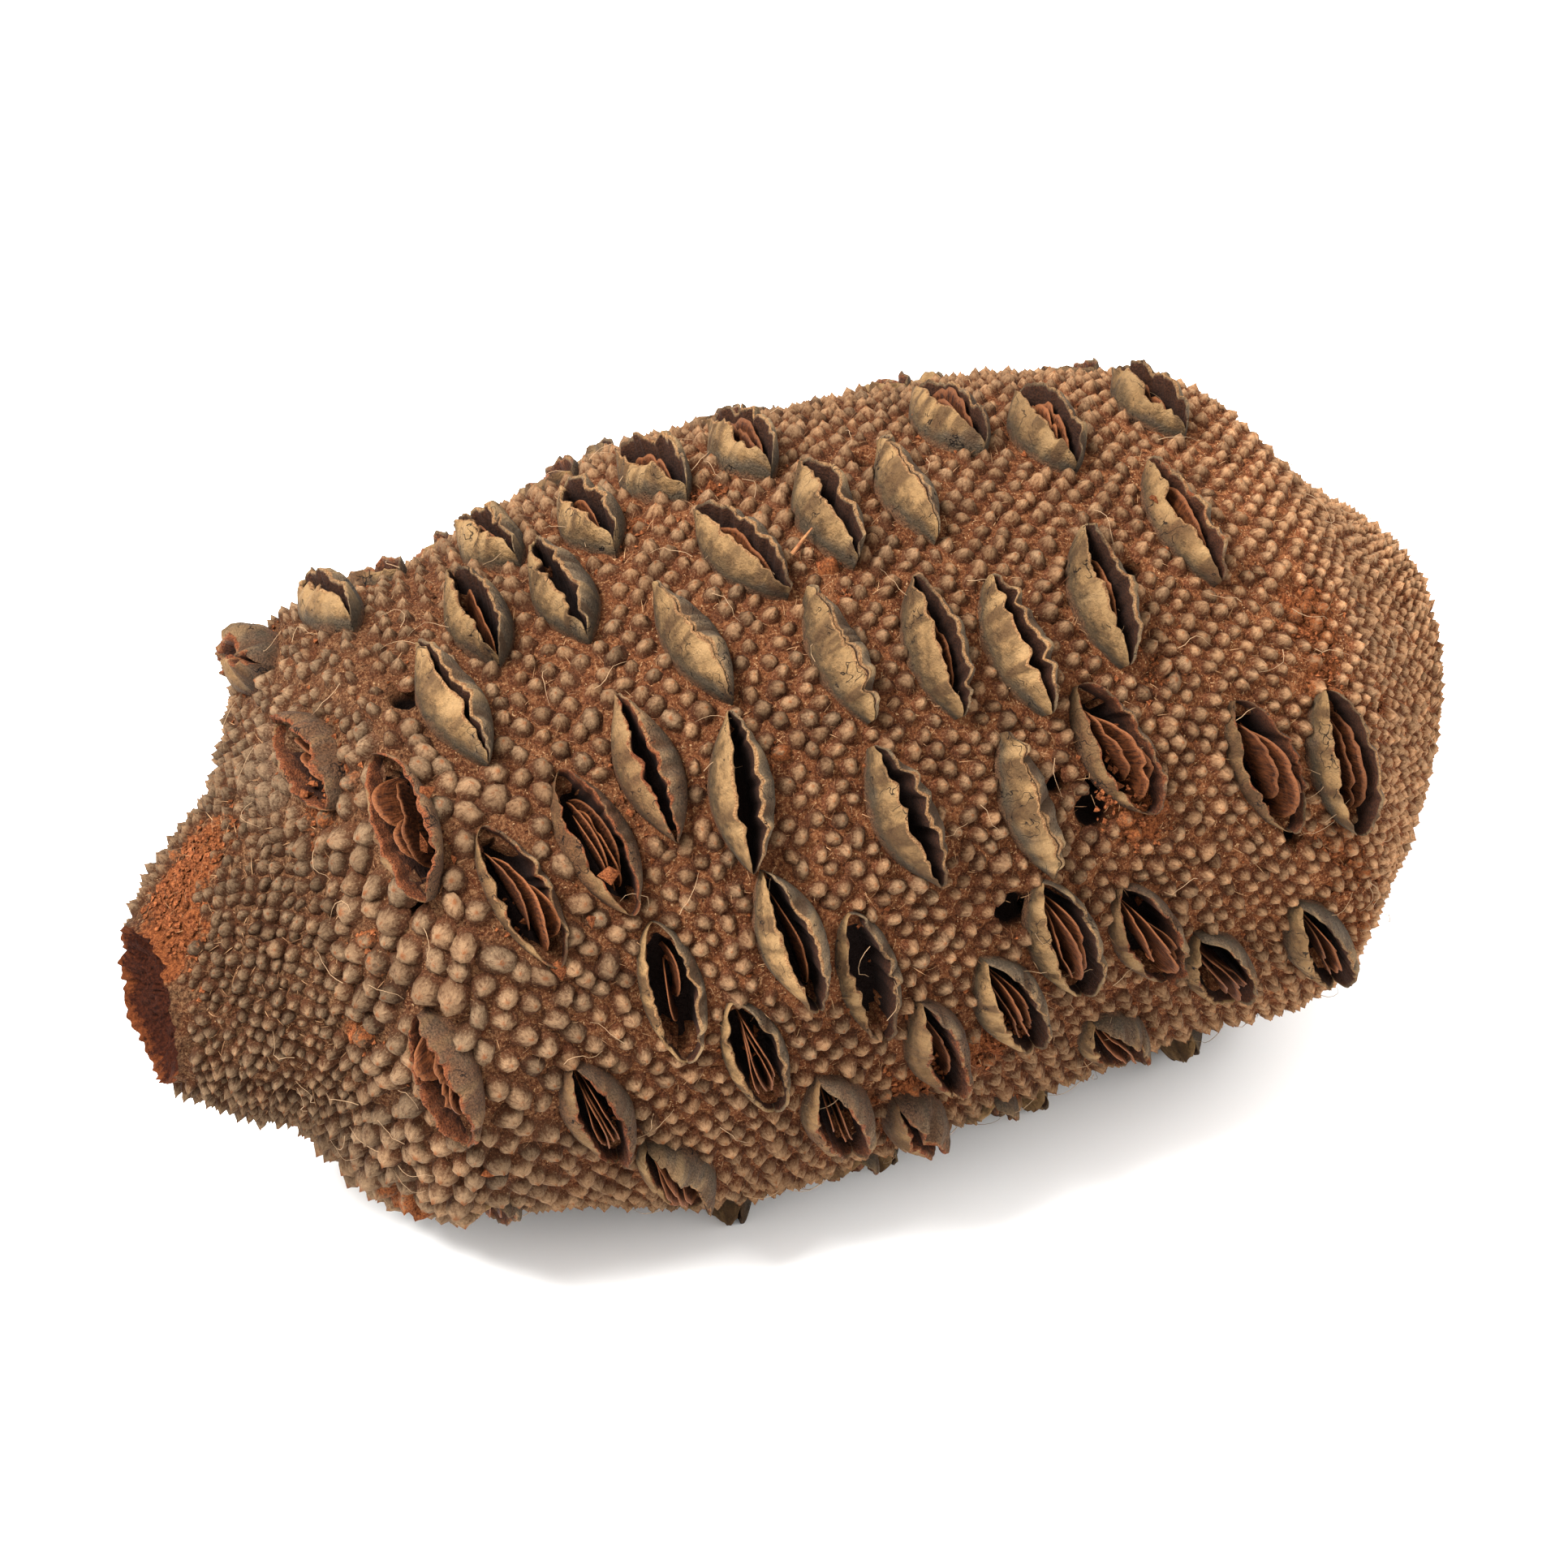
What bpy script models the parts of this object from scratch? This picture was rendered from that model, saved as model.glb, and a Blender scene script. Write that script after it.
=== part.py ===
"""Woody fruiting cone of a banksia, lying on its side.

Metres, +Z up. The axis of the cone runs along X, from the broken stem end at -X to the blunt
tip at +X, and the origin is on the surface that the cone lies on, under its middle. One node
is the cone as it grew: the felted ground, the bract knobs that cover it and the follicles with
their two lips. The other nodes are seed separators, the loose woody wedges that are left in the
follicles that opened wide.

A place on the cone is given by how far it is along the skin from the stem end, in mm, and by
its bearing: 0 degrees is the top, 90 the near side (-Y), 180 the underside.
"""
import bisect
import math
import random
from dataclasses import dataclass

import bmesh
import bpy
from mathutils import Vector
from mathutils.geometry import delaunay_2d_cdt

MM = 0.001

# The whole cone, in mm.
LENGTH = 176.0
HALF_WIDTH = 50.4
AXIS_HEIGHT = 44.2
# Radius of the ground, halfway up its knobs, by distance from the stem end.
OUTLINE = ((0.0, 9.7), (3.0, 12.2), (9.5, 17.7), (16.0, 21.6), (23.0, 32.0), (28.0, 37.7),
           (33.0, 38.6), (47.0, 40.8), (60.0, 44.6), (77.0, 46.9), (97.0, 45.9), (116.0, 44.8),
           (133.0, 43.2), (145.0, 42.3), (155.0, 34.2), (162.5, 27.0), (169.0, 19.8),
           (174.0, 11.4), (LENGTH, 0.0))
# How far the centre of each ring is above the axis: the cone is a little bent.
BEND = ((0.0, -4.2), (16.0, -1.6), (29.0, 0.3), (54.0, -0.6), (88.0, 1.7), (122.0, 2.1),
        (146.0, -1.1), (162.0, -3.4), (LENGTH, 2.8))

# The knobs stand in rings. Each row gives the distance at which a count of knobs starts.
KNOBS_IN_RING = ((0.0, 28), (17.0, 42), (30.0, 58), (148.0, 46), (158.0, 36), (166.0, 24),
                 (172.0, 14), (175.0, 8))
KNOB_HEIGHT = 0.46
KNOB_STRAY = 0.07
TIP_RING_RADIUS = 3.0
# Share of a knob's height that stands above the ground's mean radius.
KNOB_ABOVE = 0.5

# The broken stem end is a ragged dish.
STEM_FACE_RINGS = ((0.78, 0.9, 0.5), (0.42, 2.4, 0.6))
STEM_FACE_DEPTH = 3.2

# A follicle seen from outside: its half length, the level of its foot, how much its lips wave,
# how clear of it the knobs stay, and what is left at its ends of its lips' and floor's levels.
FOLLICLE_HALF_LENGTH = 9.6
FOOT_LEVEL = -0.8
LIP_WAVE = 0.28
FULL_WAVE_GAP = 2.0
KNOB_CLEARANCE = 1.3
LIP_AT_ENDS = 0.3
FLOOR_AT_ENDS = 0.8
LEAF_POINTED = 2.0


@dataclass
class Ring:
    """A ring of points round a follicle. The last three are shares of the follicle's size: the
    ring's real half length, and its half length and half width on the unrolled sheet."""
    points: int
    length: float
    sheet_length: float
    sheet_width: float


FOOT_RING = Ring(12, 1.0, 1.0, 1.0)
LIP_RING = Ring(12, 0.93, 0.8, 0.62)
FLOOR_RING = Ring(8, 0.8, 0.62, 0.28)


@dataclass
class State:
    """How far a follicle has opened. Every size is in mm, heights from the ground. A slit with
    a pointed value of 1 is oval, and one with a larger value has sharper ends."""
    half_width: float
    half_gap: float
    lip: float
    floor_half_gap: float
    floor: float
    pointed: float


SHUT = State(3.3, 0.30, 3.6, 0.15, 2.3, 2.0)
SLIT = State(3.9, 0.75, 4.3, 0.35, -2.2, 1.6)
AJAR = State(4.0, 1.40, 4.6, 0.60, -2.6, 1.6)
GAPE = State(4.3, 2.60, 4.4, 2.00, -3.2, 1.0)
WORN = State(3.8, 2.60, 1.8, 1.90, -3.8, 1.0)

# The follicles of the near side and the top, rank by rank from the stem end to the tip: distance
# along the axis in mm, bearing and lean in degrees, and state. A positive lean turns the end
# with the larger bearing towards the tip.
RANKS = (
    ((24, -37, -5, SLIT), (31, -18, 0, SLIT), (52, -16, 3, SLIT), (62, -6, -2, SLIT),
     (72, -10, 6, AJAR), (83, -8, 1, AJAR), (109, -3, 6, GAPE), (119, 5, 0, GAPE),
     (136, -1, 6, AJAR)),
    ((21, 9, 1, GAPE), (44, 4, -6, AJAR), (54, 7, -3, SLIT), (74, 15, 17, SLIT),
     (86, 13, -2, SLIT), (97, 12, -1, SHUT)),
    ((36, 21, 5, SLIT), (64, 26, 9, SHUT), (79, 36, 5, SHUT), (91, 39, -2, SLIT),
     (101, 42, 5, SLIT), (114, 38, -3, AJAR), (129, 28, 6, AJAR)),
    ((26, 39, 0, GAPE), (54, 42, 4, SLIT), (63, 50, -8, SLIT), (81, 61, 14, SLIT),
     (97, 65, 8, SHUT), (110, 61, 20, GAPE), (130, 70, 18, GAPE), (141, 71, 6, GAPE)),
    ((46, 51, 12, GAPE), (36, 57, 16, WORN), (51, 78, 7, WORN), (65, 73, 13, AJAR),
     (74, 83, 11, WORN), (100, 88, 18, GAPE), (112, 93, 24, GAPE)),
    ((25, 89, 18, GAPE), (42, 101, 21, GAPE), (60, 92, 17, WORN), (83, 100, 19, AJAR),
     (93, 97, 26, GAPE), (124, 107, 30, GAPE), (139, 107, 28, GAPE)),
    ((53, 120, 34, GAPE), (71, 109, 22, GAPE), (83, 119, 30, SLIT), (111, 118, 34, GAPE)),
)
# The far side and the underside follow the same ranks by rule.
FAR_BEARINGS = range(140, 321, 20)
FAR_FIRST, FAR_LAST, FAR_STEP = 32.0, 142.0, 23.0
FAR_STRAY, FAR_STRAY_DEGREES, FAR_LEAN, FAR_LEAN_STRAY = 2.5, 3.0, 8.0, 9.0
FAR_STATES = (SHUT, SLIT, SLIT, AJAR, AJAR, GAPE)
UNDERSIDE = range(160, 220)
# The two rows that border the near side are worn down to low rims.
WORN_ROWS = (140, 320)
FOLLICLE_ROOM = (10.5, 21.5)

# A separator is a wedge with two plates: half length, plate thickness, half spread of the
# plates, and the levels of its root, of the fork between its plates and of its outer edge.
SEPARATOR_HALF_LENGTH = 6.0
SEPARATOR_STATIONS = (-1.0, -0.62, 0.0, 0.62, 1.0)
PLATE = 0.8
PLATE_SPREAD = 1.25
ROOT_LEVEL, FORK_LEVEL, EDGE_LEVEL = -2.5, -1.2, 4.0
ROOT_HALF_WIDTH = 0.5
ROOT_RISE_AT_ENDS = 0.8
END_SPREAD = 0.45
LEAST_PLATE = 0.5
LEAST_EDGE_SHARE = 0.72

# How far the unrolled sheet is carried past its own ends, in degrees, where it meets itself.
SHEET_OVERLAP = 50.0
SAME_POINT = 1e-7

KNOB, GROUND, LIP = "knob", "ground", "lip"


class Glide:
    """A smooth line through the points of a table, which never swings past them."""

    def __init__(self, table):
        self.at, self.value = zip(*table)
        steps = [(b - a) / (q - p) for p, q, a, b in
                 zip(self.at, self.at[1:], self.value, self.value[1:])]
        inner = [2 * a * b / (a + b) if a * b > 0 else 0.0 for a, b in zip(steps, steps[1:])]
        self.slope = [steps[0], *inner, steps[-1]]

    def __call__(self, where):
        i = min(max(bisect.bisect_right(self.at, where) - 1, 0), len(self.at) - 2)
        span = self.at[i + 1] - self.at[i]
        f = min(max((where - self.at[i]) / span, 0.0), 1.0)
        rise = f * f * (3 - 2 * f)
        bow = self.slope[i] * f * (1 - f) ** 2 - self.slope[i + 1] * f * f * (1 - f)
        return self.value[i] * (1 - rise) + self.value[i + 1] * rise + bow * span


class Skin:
    """The surface of revolution that carries everything, measured along its outline."""

    SAMPLE = 0.5
    CLOSE_ENOUGH = 0.01

    def __init__(self):
        along = [0.0]
        for (x0, r0), (x1, r1) in zip(OUTLINE, OUTLINE[1:]):
            along.append(along[-1] + math.hypot(x1 - x0, r1 - r0))
        self.end = along[-1]
        self.axial = Glide(list(zip(along, [x for x, _ in OUTLINE])))
        self.radius = Glide(list(zip(along, [r for _, r in OUTLINE])))
        self.bend = Glide(BEND)
        self.sheet = [0.0]
        for i in range(int(self.end / self.SAMPLE) + 1):
            middle = (i + 0.5) * self.SAMPLE
            self.sheet.append(self.sheet[-1] + self.SAMPLE / max(self.radius(middle), 1.0))

    def along(self, axial):
        """Distance along the skin at which the axis has come a given distance."""
        low, high = 0.0, self.end
        while high - low > self.CLOSE_ENOUGH:
            middle = (low + high) / 2
            low, high = (middle, high) if self.axial(middle) < axial else (low, middle)
        return low

    def unroll(self, along, bearing):
        """Place on the flat sheet that the skin unrolls to with all its angles kept."""
        i, rest = divmod(along / self.SAMPLE, 1)
        low, high = self.sheet[int(i)], self.sheet[min(int(i) + 1, len(self.sheet) - 1)]
        return (low + (high - low) * rest, math.radians(bearing))

    def point(self, along, bearing, height):
        """Place in space at a height straight out from the skin, kept inside the cone's box."""
        reach = self.SAMPLE
        back, ahead = max(along - reach, 0.0), min(along + reach, self.end)
        step = Vector((self.axial(ahead) - self.axial(back), self.radius(ahead) - self.radius(back)))
        step.normalize()
        turn = math.radians(bearing)
        radial = self.radius(along) + height * step.x
        axial = self.axial(along) - height * step.y
        y = -radial * math.sin(turn)
        z = AXIS_HEIGHT + self.bend(axial) + radial * math.cos(turn)
        x = min(max(axial, 0.0), LENGTH) - LENGTH / 2
        return Vector((x, min(max(y, -HALF_WIDTH), HALF_WIDTH), max(z, 0.0)))


@dataclass
class Follicle:
    """Where one follicle sits, and how it has opened."""
    along: float
    bearing: float
    lean: float
    state: State

    def spot(self, skin, lengthwise, crosswise):
        """Distance along and bearing of a place in the follicle's own length and width."""
        lean = math.radians(self.lean)
        forward = crosswise * math.cos(lean) + lengthwise * math.sin(lean)
        sideways = lengthwise * math.cos(lean) - crosswise * math.sin(lean)
        turn = math.degrees(sideways / skin.radius(self.along))
        return self.along + forward, self.bearing + turn

    def point(self, skin, lengthwise, crosswise, height):
        return skin.point(*self.spot(skin, lengthwise, crosswise), height)

    def offset(self, skin, along, bearing):
        """A place on the skin, in the follicle's own length and width."""
        lean = math.radians(self.lean)
        forward = along - self.along
        turn = (bearing - self.bearing + 180) % 360 - 180
        sideways = math.radians(turn) * skin.radius(self.along)
        return (sideways * math.cos(lean) + forward * math.sin(lean),
                forward * math.cos(lean) - sideways * math.sin(lean))


def near_follicles(skin):
    return [Follicle(skin.along(axial), bearing, lean, state)
            for rank in RANKS for axial, bearing, lean, state in rank]


def far_follicles(skin, taken, draw):
    """Ranks round the side that is turned away, where no other follicle is in the way."""
    found = []
    for number, bearing in enumerate(FAR_BEARINGS):
        axial = FAR_FIRST + FAR_STEP / 2 * (number % 2)
        while axial < FAR_LAST:
            place = Follicle(skin.along(axial + draw.uniform(-FAR_STRAY, FAR_STRAY)),
                             bearing + draw.uniform(-FAR_STRAY_DEGREES, FAR_STRAY_DEGREES),
                             FAR_LEAN + draw.uniform(-FAR_LEAN_STRAY, FAR_LEAN_STRAY),
                             far_state(bearing, draw))
            if all(has_room(skin, place, other) for other in taken + found):
                found.append(place)
            axial += FAR_STEP
    return found


def far_state(bearing, draw):
    if bearing in WORN_ROWS:
        return WORN
    return SLIT if bearing in UNDERSIDE else draw.choice(FAR_STATES)


def has_room(skin, place, other):
    lengthwise, crosswise = other.offset(skin, place.along, place.bearing)
    return math.hypot(crosswise / FOLLICLE_ROOM[0], lengthwise / FOLLICLE_ROOM[1]) > 1


class Points:
    """The points of the cone's surface: on the unrolled sheet, in space, and what each is."""

    def __init__(self):
        self.flat, self.solid, self.kind, self.chains = [], [], [], []

    def add(self, flat, solid, kind):
        self.flat.append(flat)
        self.solid.append(solid)
        self.kind.append(kind)
        return len(self.flat) - 1

    def tie(self, ring):
        """Keep the edges of a closed ring of points."""
        self.chains += list(zip(ring, ring[1:] + ring[:1]))


def knob_rows(skin, follicles, points, draw):
    """Rings of knob tips, with a ring of low points between each two; returns the end rings."""
    rows, along = [], 0.0
    while skin.radius(along) > TIP_RING_RADIUS or along < skin.end / 2:
        axial = skin.axial(along)
        count = [number for start, number in KNOBS_IN_RING if start <= axial][-1]
        pitch = 2 * math.pi * skin.radius(along) / count
        rows.append((along, count, pitch))
        along += pitch / 2
    rings = []
    for row, (along, count, pitch) in enumerate(rows):
        tips = row % 2 == 1
        level = KNOB_HEIGHT * pitch * (KNOB_ABOVE if tips else KNOB_ABOVE - 1) if row else 0.0
        stray = KNOB_STRAY if 0 < row < len(rows) - 1 else 0.0
        ring = []
        for i in range(count):
            at = along + draw.uniform(-stray, stray) * pitch
            bearing = 360 / count * (i + (0.5 if tips else 0.0) + draw.uniform(-stray, stray))
            if any(covers(skin, follicle, at, bearing) for follicle in follicles):
                continue
            height = level + draw.uniform(-stray, stray) * pitch / 2
            ring.append(points.add(skin.unroll(at, bearing), skin.point(at, bearing, height),
                                   KNOB if tips else GROUND))
        rings.append(ring)
    return rings[0], rings[-1]


def covers(skin, follicle, along, bearing):
    """Whether a follicle's foot, and the room round it, holds a place on the skin."""
    lengthwise, crosswise = follicle.offset(skin, along, bearing)
    reach = FOLLICLE_HALF_LENGTH + KNOB_CLEARANCE
    if abs(lengthwise) >= reach:
        return False
    width = follicle.state.half_width * (1 - (lengthwise / reach) ** 2) + KNOB_CLEARANCE
    return abs(crosswise) < width


def leaf_ring(length_share, half_width, pointed, count):
    """Points round a leaf shape, as distances along and across it, and as a share of girth."""
    for i in range(count):
        turn = 2 * math.pi * i / count
        girth = abs(math.sin(turn))
        width = math.copysign(half_width * girth ** pointed, math.sin(turn))
        yield FOLLICLE_HALF_LENGTH * length_share * math.cos(turn), width, girth


def follicle_rings(skin, follicle, points, draw):
    """The foot, the two lips and the floor of a follicle, as three rings of points."""
    state = follicle.state
    rings = (
        (FOOT_RING, state.half_width, LEAF_POINTED, FOOT_LEVEL, FOOT_LEVEL, 0.0),
        (LIP_RING, state.half_gap, state.pointed, state.lip * LIP_AT_ENDS, state.lip, LIP_WAVE),
        (FLOOR_RING, state.floor_half_gap, state.pointed, state.floor * FLOOR_AT_ENDS,
         state.floor, 0.0),
    )
    for ring, half_width, pointed, end_level, level, wave in rings:
        flat = leaf_ring(ring.sheet_length, state.half_width * ring.sheet_width, LEAF_POINTED,
                         ring.points)
        real = leaf_ring(ring.length, half_width, pointed, ring.points)
        placed = []
        for (u, v, _), (length, width, girth) in zip(flat, real):
            shift = draw.uniform(-wave, wave) * girth * min(1.0, state.half_gap / FULL_WAVE_GAP)
            height = end_level + (level - end_level) * girth + draw.uniform(-wave, wave)
            place = follicle.point(skin, length, width + shift, height)
            placed.append(points.add(skin.unroll(*follicle.spot(skin, u, v)), place, LIP))
        points.tie(placed)


def join_points(points):
    """Triangles over the whole sheet, which closes on itself round the cone."""
    turn, pad = 2 * math.pi, math.radians(SHEET_OVERLAP)
    flat, source, copies = [], [], {}
    for lap in (-1, 0, 1):
        for i, (x, y) in enumerate(points.flat):
            if -pad < y + lap * turn < turn + pad:
                copies[i, lap] = len(flat)
                flat.append(Vector((x, y + lap * turn)))
                source.append(i)
    chains = [(copies[a, lap], copies[b, lap]) for a, b in points.chains for lap in (-1, 0, 1)
              if (a, lap) in copies and (b, lap) in copies]
    faces, origin = delaunay_2d_cdt(flat, chains, [], 0, SAME_POINT)[2:4]
    triangles = []
    for face in faces:
        corners = [origin[corner][0] for corner in face]
        if 0 <= sum(flat[corner].y for corner in corners) / 3 < turn:
            triangles.append([source[corner] for corner in corners])
    return triangles


def crease_between_knobs(mesh, kinds):
    """Turn each edge that joins two tips, so that it joins the two low points beside it."""
    turned = []
    for edge in mesh.edges:
        if len(edge.link_faces) != 2:
            continue
        ends = {vert.index for vert in edge.verts}
        beside = {vert.index for face in edge.link_faces for vert in face.verts} - ends
        if (all(kinds[i] == KNOB for i in ends) and not any(kinds[i] == KNOB for i in beside)):
            turned.append(edge)
    bmesh.ops.rotate_edges(mesh, edges=turned, use_ccw=False)


def close_stem_end(mesh, rim, draw):
    """The ragged dish where the stem broke off."""
    middle = sum((vert.co for vert in rim), Vector()) / len(rim)
    outer = rim
    for share, depth, ragged in STEM_FACE_RINGS:
        inner = []
        for vert in rim:
            place = middle.lerp(vert.co, share)
            place.x += depth + draw.uniform(-ragged, ragged)
            inner.append(mesh.verts.new(place))
        for i in range(len(rim)):
            j = (i + 1) % len(rim)
            mesh.faces.new((outer[i], outer[j], inner[j]))
            mesh.faces.new((outer[i], inner[j], inner[i]))
        outer = inner
    fan(mesh, outer, middle + Vector((STEM_FACE_DEPTH, 0, 0)))


def fan(mesh, ring, place):
    hub = mesh.verts.new(place)
    for a, b in zip(ring, ring[1:] + ring[:1]):
        mesh.faces.new((a, b, hub))


def add_node(name, mesh, material):
    """Turn a mesh in mm into a named object in metres."""
    bmesh.ops.recalc_face_normals(mesh, faces=mesh.faces)
    bmesh.ops.scale(mesh, vec=(MM, MM, MM), verts=mesh.verts)
    data = bpy.data.meshes.new(name)
    mesh.to_mesh(data)
    mesh.free()
    data.materials.append(material)
    node = bpy.data.objects.new(name, data)
    bpy.context.scene.collection.objects.link(node)
    return node


def finish(name, colour, roughness):
    material = bpy.data.materials.new(name)
    material.use_nodes = True
    shader = material.node_tree.nodes["Principled BSDF"]
    shader.inputs["Base Color"].default_value = (*colour, 1.0)
    shader.inputs["Roughness"].default_value = roughness
    shader.inputs["Metallic"].default_value = 0.0
    return material


def make_cone(skin, follicles, draw):
    points = Points()
    rim, last = knob_rows(skin, follicles, points, draw)
    for follicle in follicles:
        follicle_rings(skin, follicle, points, draw)
    mesh = bmesh.new()
    verts = [mesh.verts.new(place) for place in points.solid]
    for triangle in join_points(points):
        mesh.faces.new([verts[i] for i in triangle])
    mesh.verts.index_update()
    crease_between_knobs(mesh, points.kind)
    close_stem_end(mesh, [verts[i] for i in rim], draw)
    fan(mesh, [verts[i] for i in last], skin.point(skin.end, 0.0, 0.0))
    return add_node("cone", mesh, finish("bract_matrix", (0.30, 0.19, 0.12), 0.92))


def make_separator(name, skin, follicle, material, draw):
    """A woody wedge, forked into two plates at its outer edge, standing in an open slit."""
    mesh = bmesh.new()
    tallest = EDGE_LEVEL - FORK_LEVEL - LEAST_PLATE
    heights = [tallest * draw.uniform(LEAST_EDGE_SHARE, 1.0) for _ in range(2)]
    sections = []
    for station in SEPARATOR_STATIONS:
        girth = 1 - station * station
        edges = [FORK_LEVEL + LEAST_PLATE + height * math.sqrt(girth) for height in heights]
        spread = END_SPREAD + (PLATE_SPREAD - END_SPREAD) * girth
        root = ROOT_LEVEL + ROOT_RISE_AT_ENDS * station * station
        outline = ((ROOT_HALF_WIDTH, root), (spread + PLATE / 2, edges[0]),
                   (spread - PLATE / 2, edges[0]), (0.0, FORK_LEVEL),
                   (PLATE / 2 - spread, edges[1]), (-PLATE / 2 - spread, edges[1]),
                   (-ROOT_HALF_WIDTH, root))
        lengthwise = station * SEPARATOR_HALF_LENGTH
        sections.append([mesh.verts.new(follicle.point(skin, lengthwise, across, height))
                         for across, height in outline])
    for near, far in zip(sections, sections[1:]):
        for i in range(len(near)):
            j = (i + 1) % len(near)
            mesh.faces.new((near[i], near[j], far[j], far[i]))
    for section in (sections[0], sections[-1]):
        mesh.faces.new(section)
    bmesh.ops.triangulate(mesh, faces=mesh.faces)
    return add_node(name, mesh, material)


def main():
    for old in list(bpy.data.objects):
        bpy.data.objects.remove(old, do_unlink=True)
    draw = random.Random(20)
    skin = Skin()
    near = near_follicles(skin)
    follicles = near + far_follicles(skin, near, draw)
    make_cone(skin, follicles, draw)
    brown = finish("separator", (0.11, 0.05, 0.03), 0.7)
    gaping = [follicle for follicle in follicles if follicle.state is GAPE]
    for number, follicle in enumerate(gaping, start=1):
        make_separator(f"separator_{number:02d}", skin, follicle, brown, draw)


main()
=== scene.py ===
import math
import random
from dataclasses import dataclass

import bpy
import numpy as np
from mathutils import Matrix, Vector


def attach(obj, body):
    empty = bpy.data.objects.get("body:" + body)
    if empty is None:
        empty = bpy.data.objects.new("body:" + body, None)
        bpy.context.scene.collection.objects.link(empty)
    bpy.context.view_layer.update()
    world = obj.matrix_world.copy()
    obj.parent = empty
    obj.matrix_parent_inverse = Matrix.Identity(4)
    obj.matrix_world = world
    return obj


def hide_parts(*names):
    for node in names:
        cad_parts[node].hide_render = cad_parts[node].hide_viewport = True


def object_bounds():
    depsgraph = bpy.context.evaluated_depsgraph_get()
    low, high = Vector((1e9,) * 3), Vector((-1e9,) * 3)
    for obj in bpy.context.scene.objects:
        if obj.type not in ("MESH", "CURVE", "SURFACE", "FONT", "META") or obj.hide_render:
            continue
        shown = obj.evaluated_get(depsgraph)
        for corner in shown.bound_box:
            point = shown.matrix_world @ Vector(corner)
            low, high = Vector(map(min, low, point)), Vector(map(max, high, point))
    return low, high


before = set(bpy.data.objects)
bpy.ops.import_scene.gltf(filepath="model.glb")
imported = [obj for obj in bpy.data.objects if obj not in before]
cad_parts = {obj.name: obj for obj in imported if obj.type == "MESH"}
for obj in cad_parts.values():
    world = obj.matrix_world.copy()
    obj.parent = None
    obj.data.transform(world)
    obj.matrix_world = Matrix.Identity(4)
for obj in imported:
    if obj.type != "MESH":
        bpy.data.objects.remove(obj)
cad_box = [list(corner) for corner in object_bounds()]

# A banksia cone lies on its side. The camera looks down on its near side, from a little towards
# the stem end. Its place comes from matching the cone's outline and rows of follicles to the
# photograph.
MM = 0.001
AXIS_HEIGHT = 44.2
VIEW_AIM = (-2.0, 0.0, AXIS_HEIGHT)
VIEW_TURN, VIEW_RISE = math.radians(26.14), math.radians(34.0)
VIEW_DISTANCE = 677.6
VIEW_LENS, VIEW_SENSOR = 124.7, 36.0
VIEW_SHIFT = (-0.0030, 0.0104)

camera_data = bpy.data.cameras.new("camera")
camera_data.lens = VIEW_LENS
camera_data.sensor_width = VIEW_SENSOR
camera_data.shift_x, camera_data.shift_y = VIEW_SHIFT
camera = bpy.data.objects.new("camera", camera_data)
bpy.context.scene.collection.objects.link(camera)
to_camera = Vector((-math.sin(VIEW_TURN) * math.cos(VIEW_RISE),
                    -math.cos(VIEW_TURN) * math.cos(VIEW_RISE),
                    math.sin(VIEW_RISE)))
camera.location = (Vector(VIEW_AIM) + to_camera * VIEW_DISTANCE) * MM
camera.rotation_euler = (-to_camera).to_track_quat("-Z", "Y").to_euler()
bpy.context.scene.camera = camera

# The cone lies on a pale matt table top. A bright even room and one broad soft lamp up on the
# left light it, with a weak one on the right for the side that is turned away from the lamp.
TABLE_HALF = 1.5
TABLE_SHADE = (0.90, 0.895, 0.885, 1.0)
ROOM_SHADE = (1.0, 0.995, 0.985, 1.0)
ROOM_STRENGTH = 2.2
LAMPS = {"key_lamp": ((-0.52, -0.12, 0.78), 0.36, 32.0), "fill_lamp": ((0.70, -0.60, 0.50), 0.80, 4.0)}
# How much brighter than its paint a surface looks in this light, in red, green and blue.
LIGHT = (2.84, 3.34, 4.1)


class Value:
    """A value or a colour in a finish. Sums on values read as plain sums."""

    def __init__(self, finish, socket):
        self.finish, self.socket = finish, socket

    def maths(self, operation, *terms):
        return self.finish.node("ShaderNodeMath", {"operation": operation}, dict(enumerate(terms)))

    def __add__(self, other):
        return self.maths("ADD", self, other)

    def __sub__(self, other):
        return self.maths("SUBTRACT", self, other)

    def __mul__(self, other):
        return self.maths("MULTIPLY", self, other)

    def __rsub__(self, other):
        return self.maths("SUBTRACT", other, self)

    def __abs__(self):
        return self.maths("ABSOLUTE", self)

    __radd__ = __add__
    __rmul__ = __mul__

    def between(self, start, full):
        """0 up to start, 1 from full on, and a straight slope between them."""
        return self.finish.node("ShaderNodeMapRange", {"clamp": True},
                                {"Value": self, "From Min": start, "From Max": full})


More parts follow.
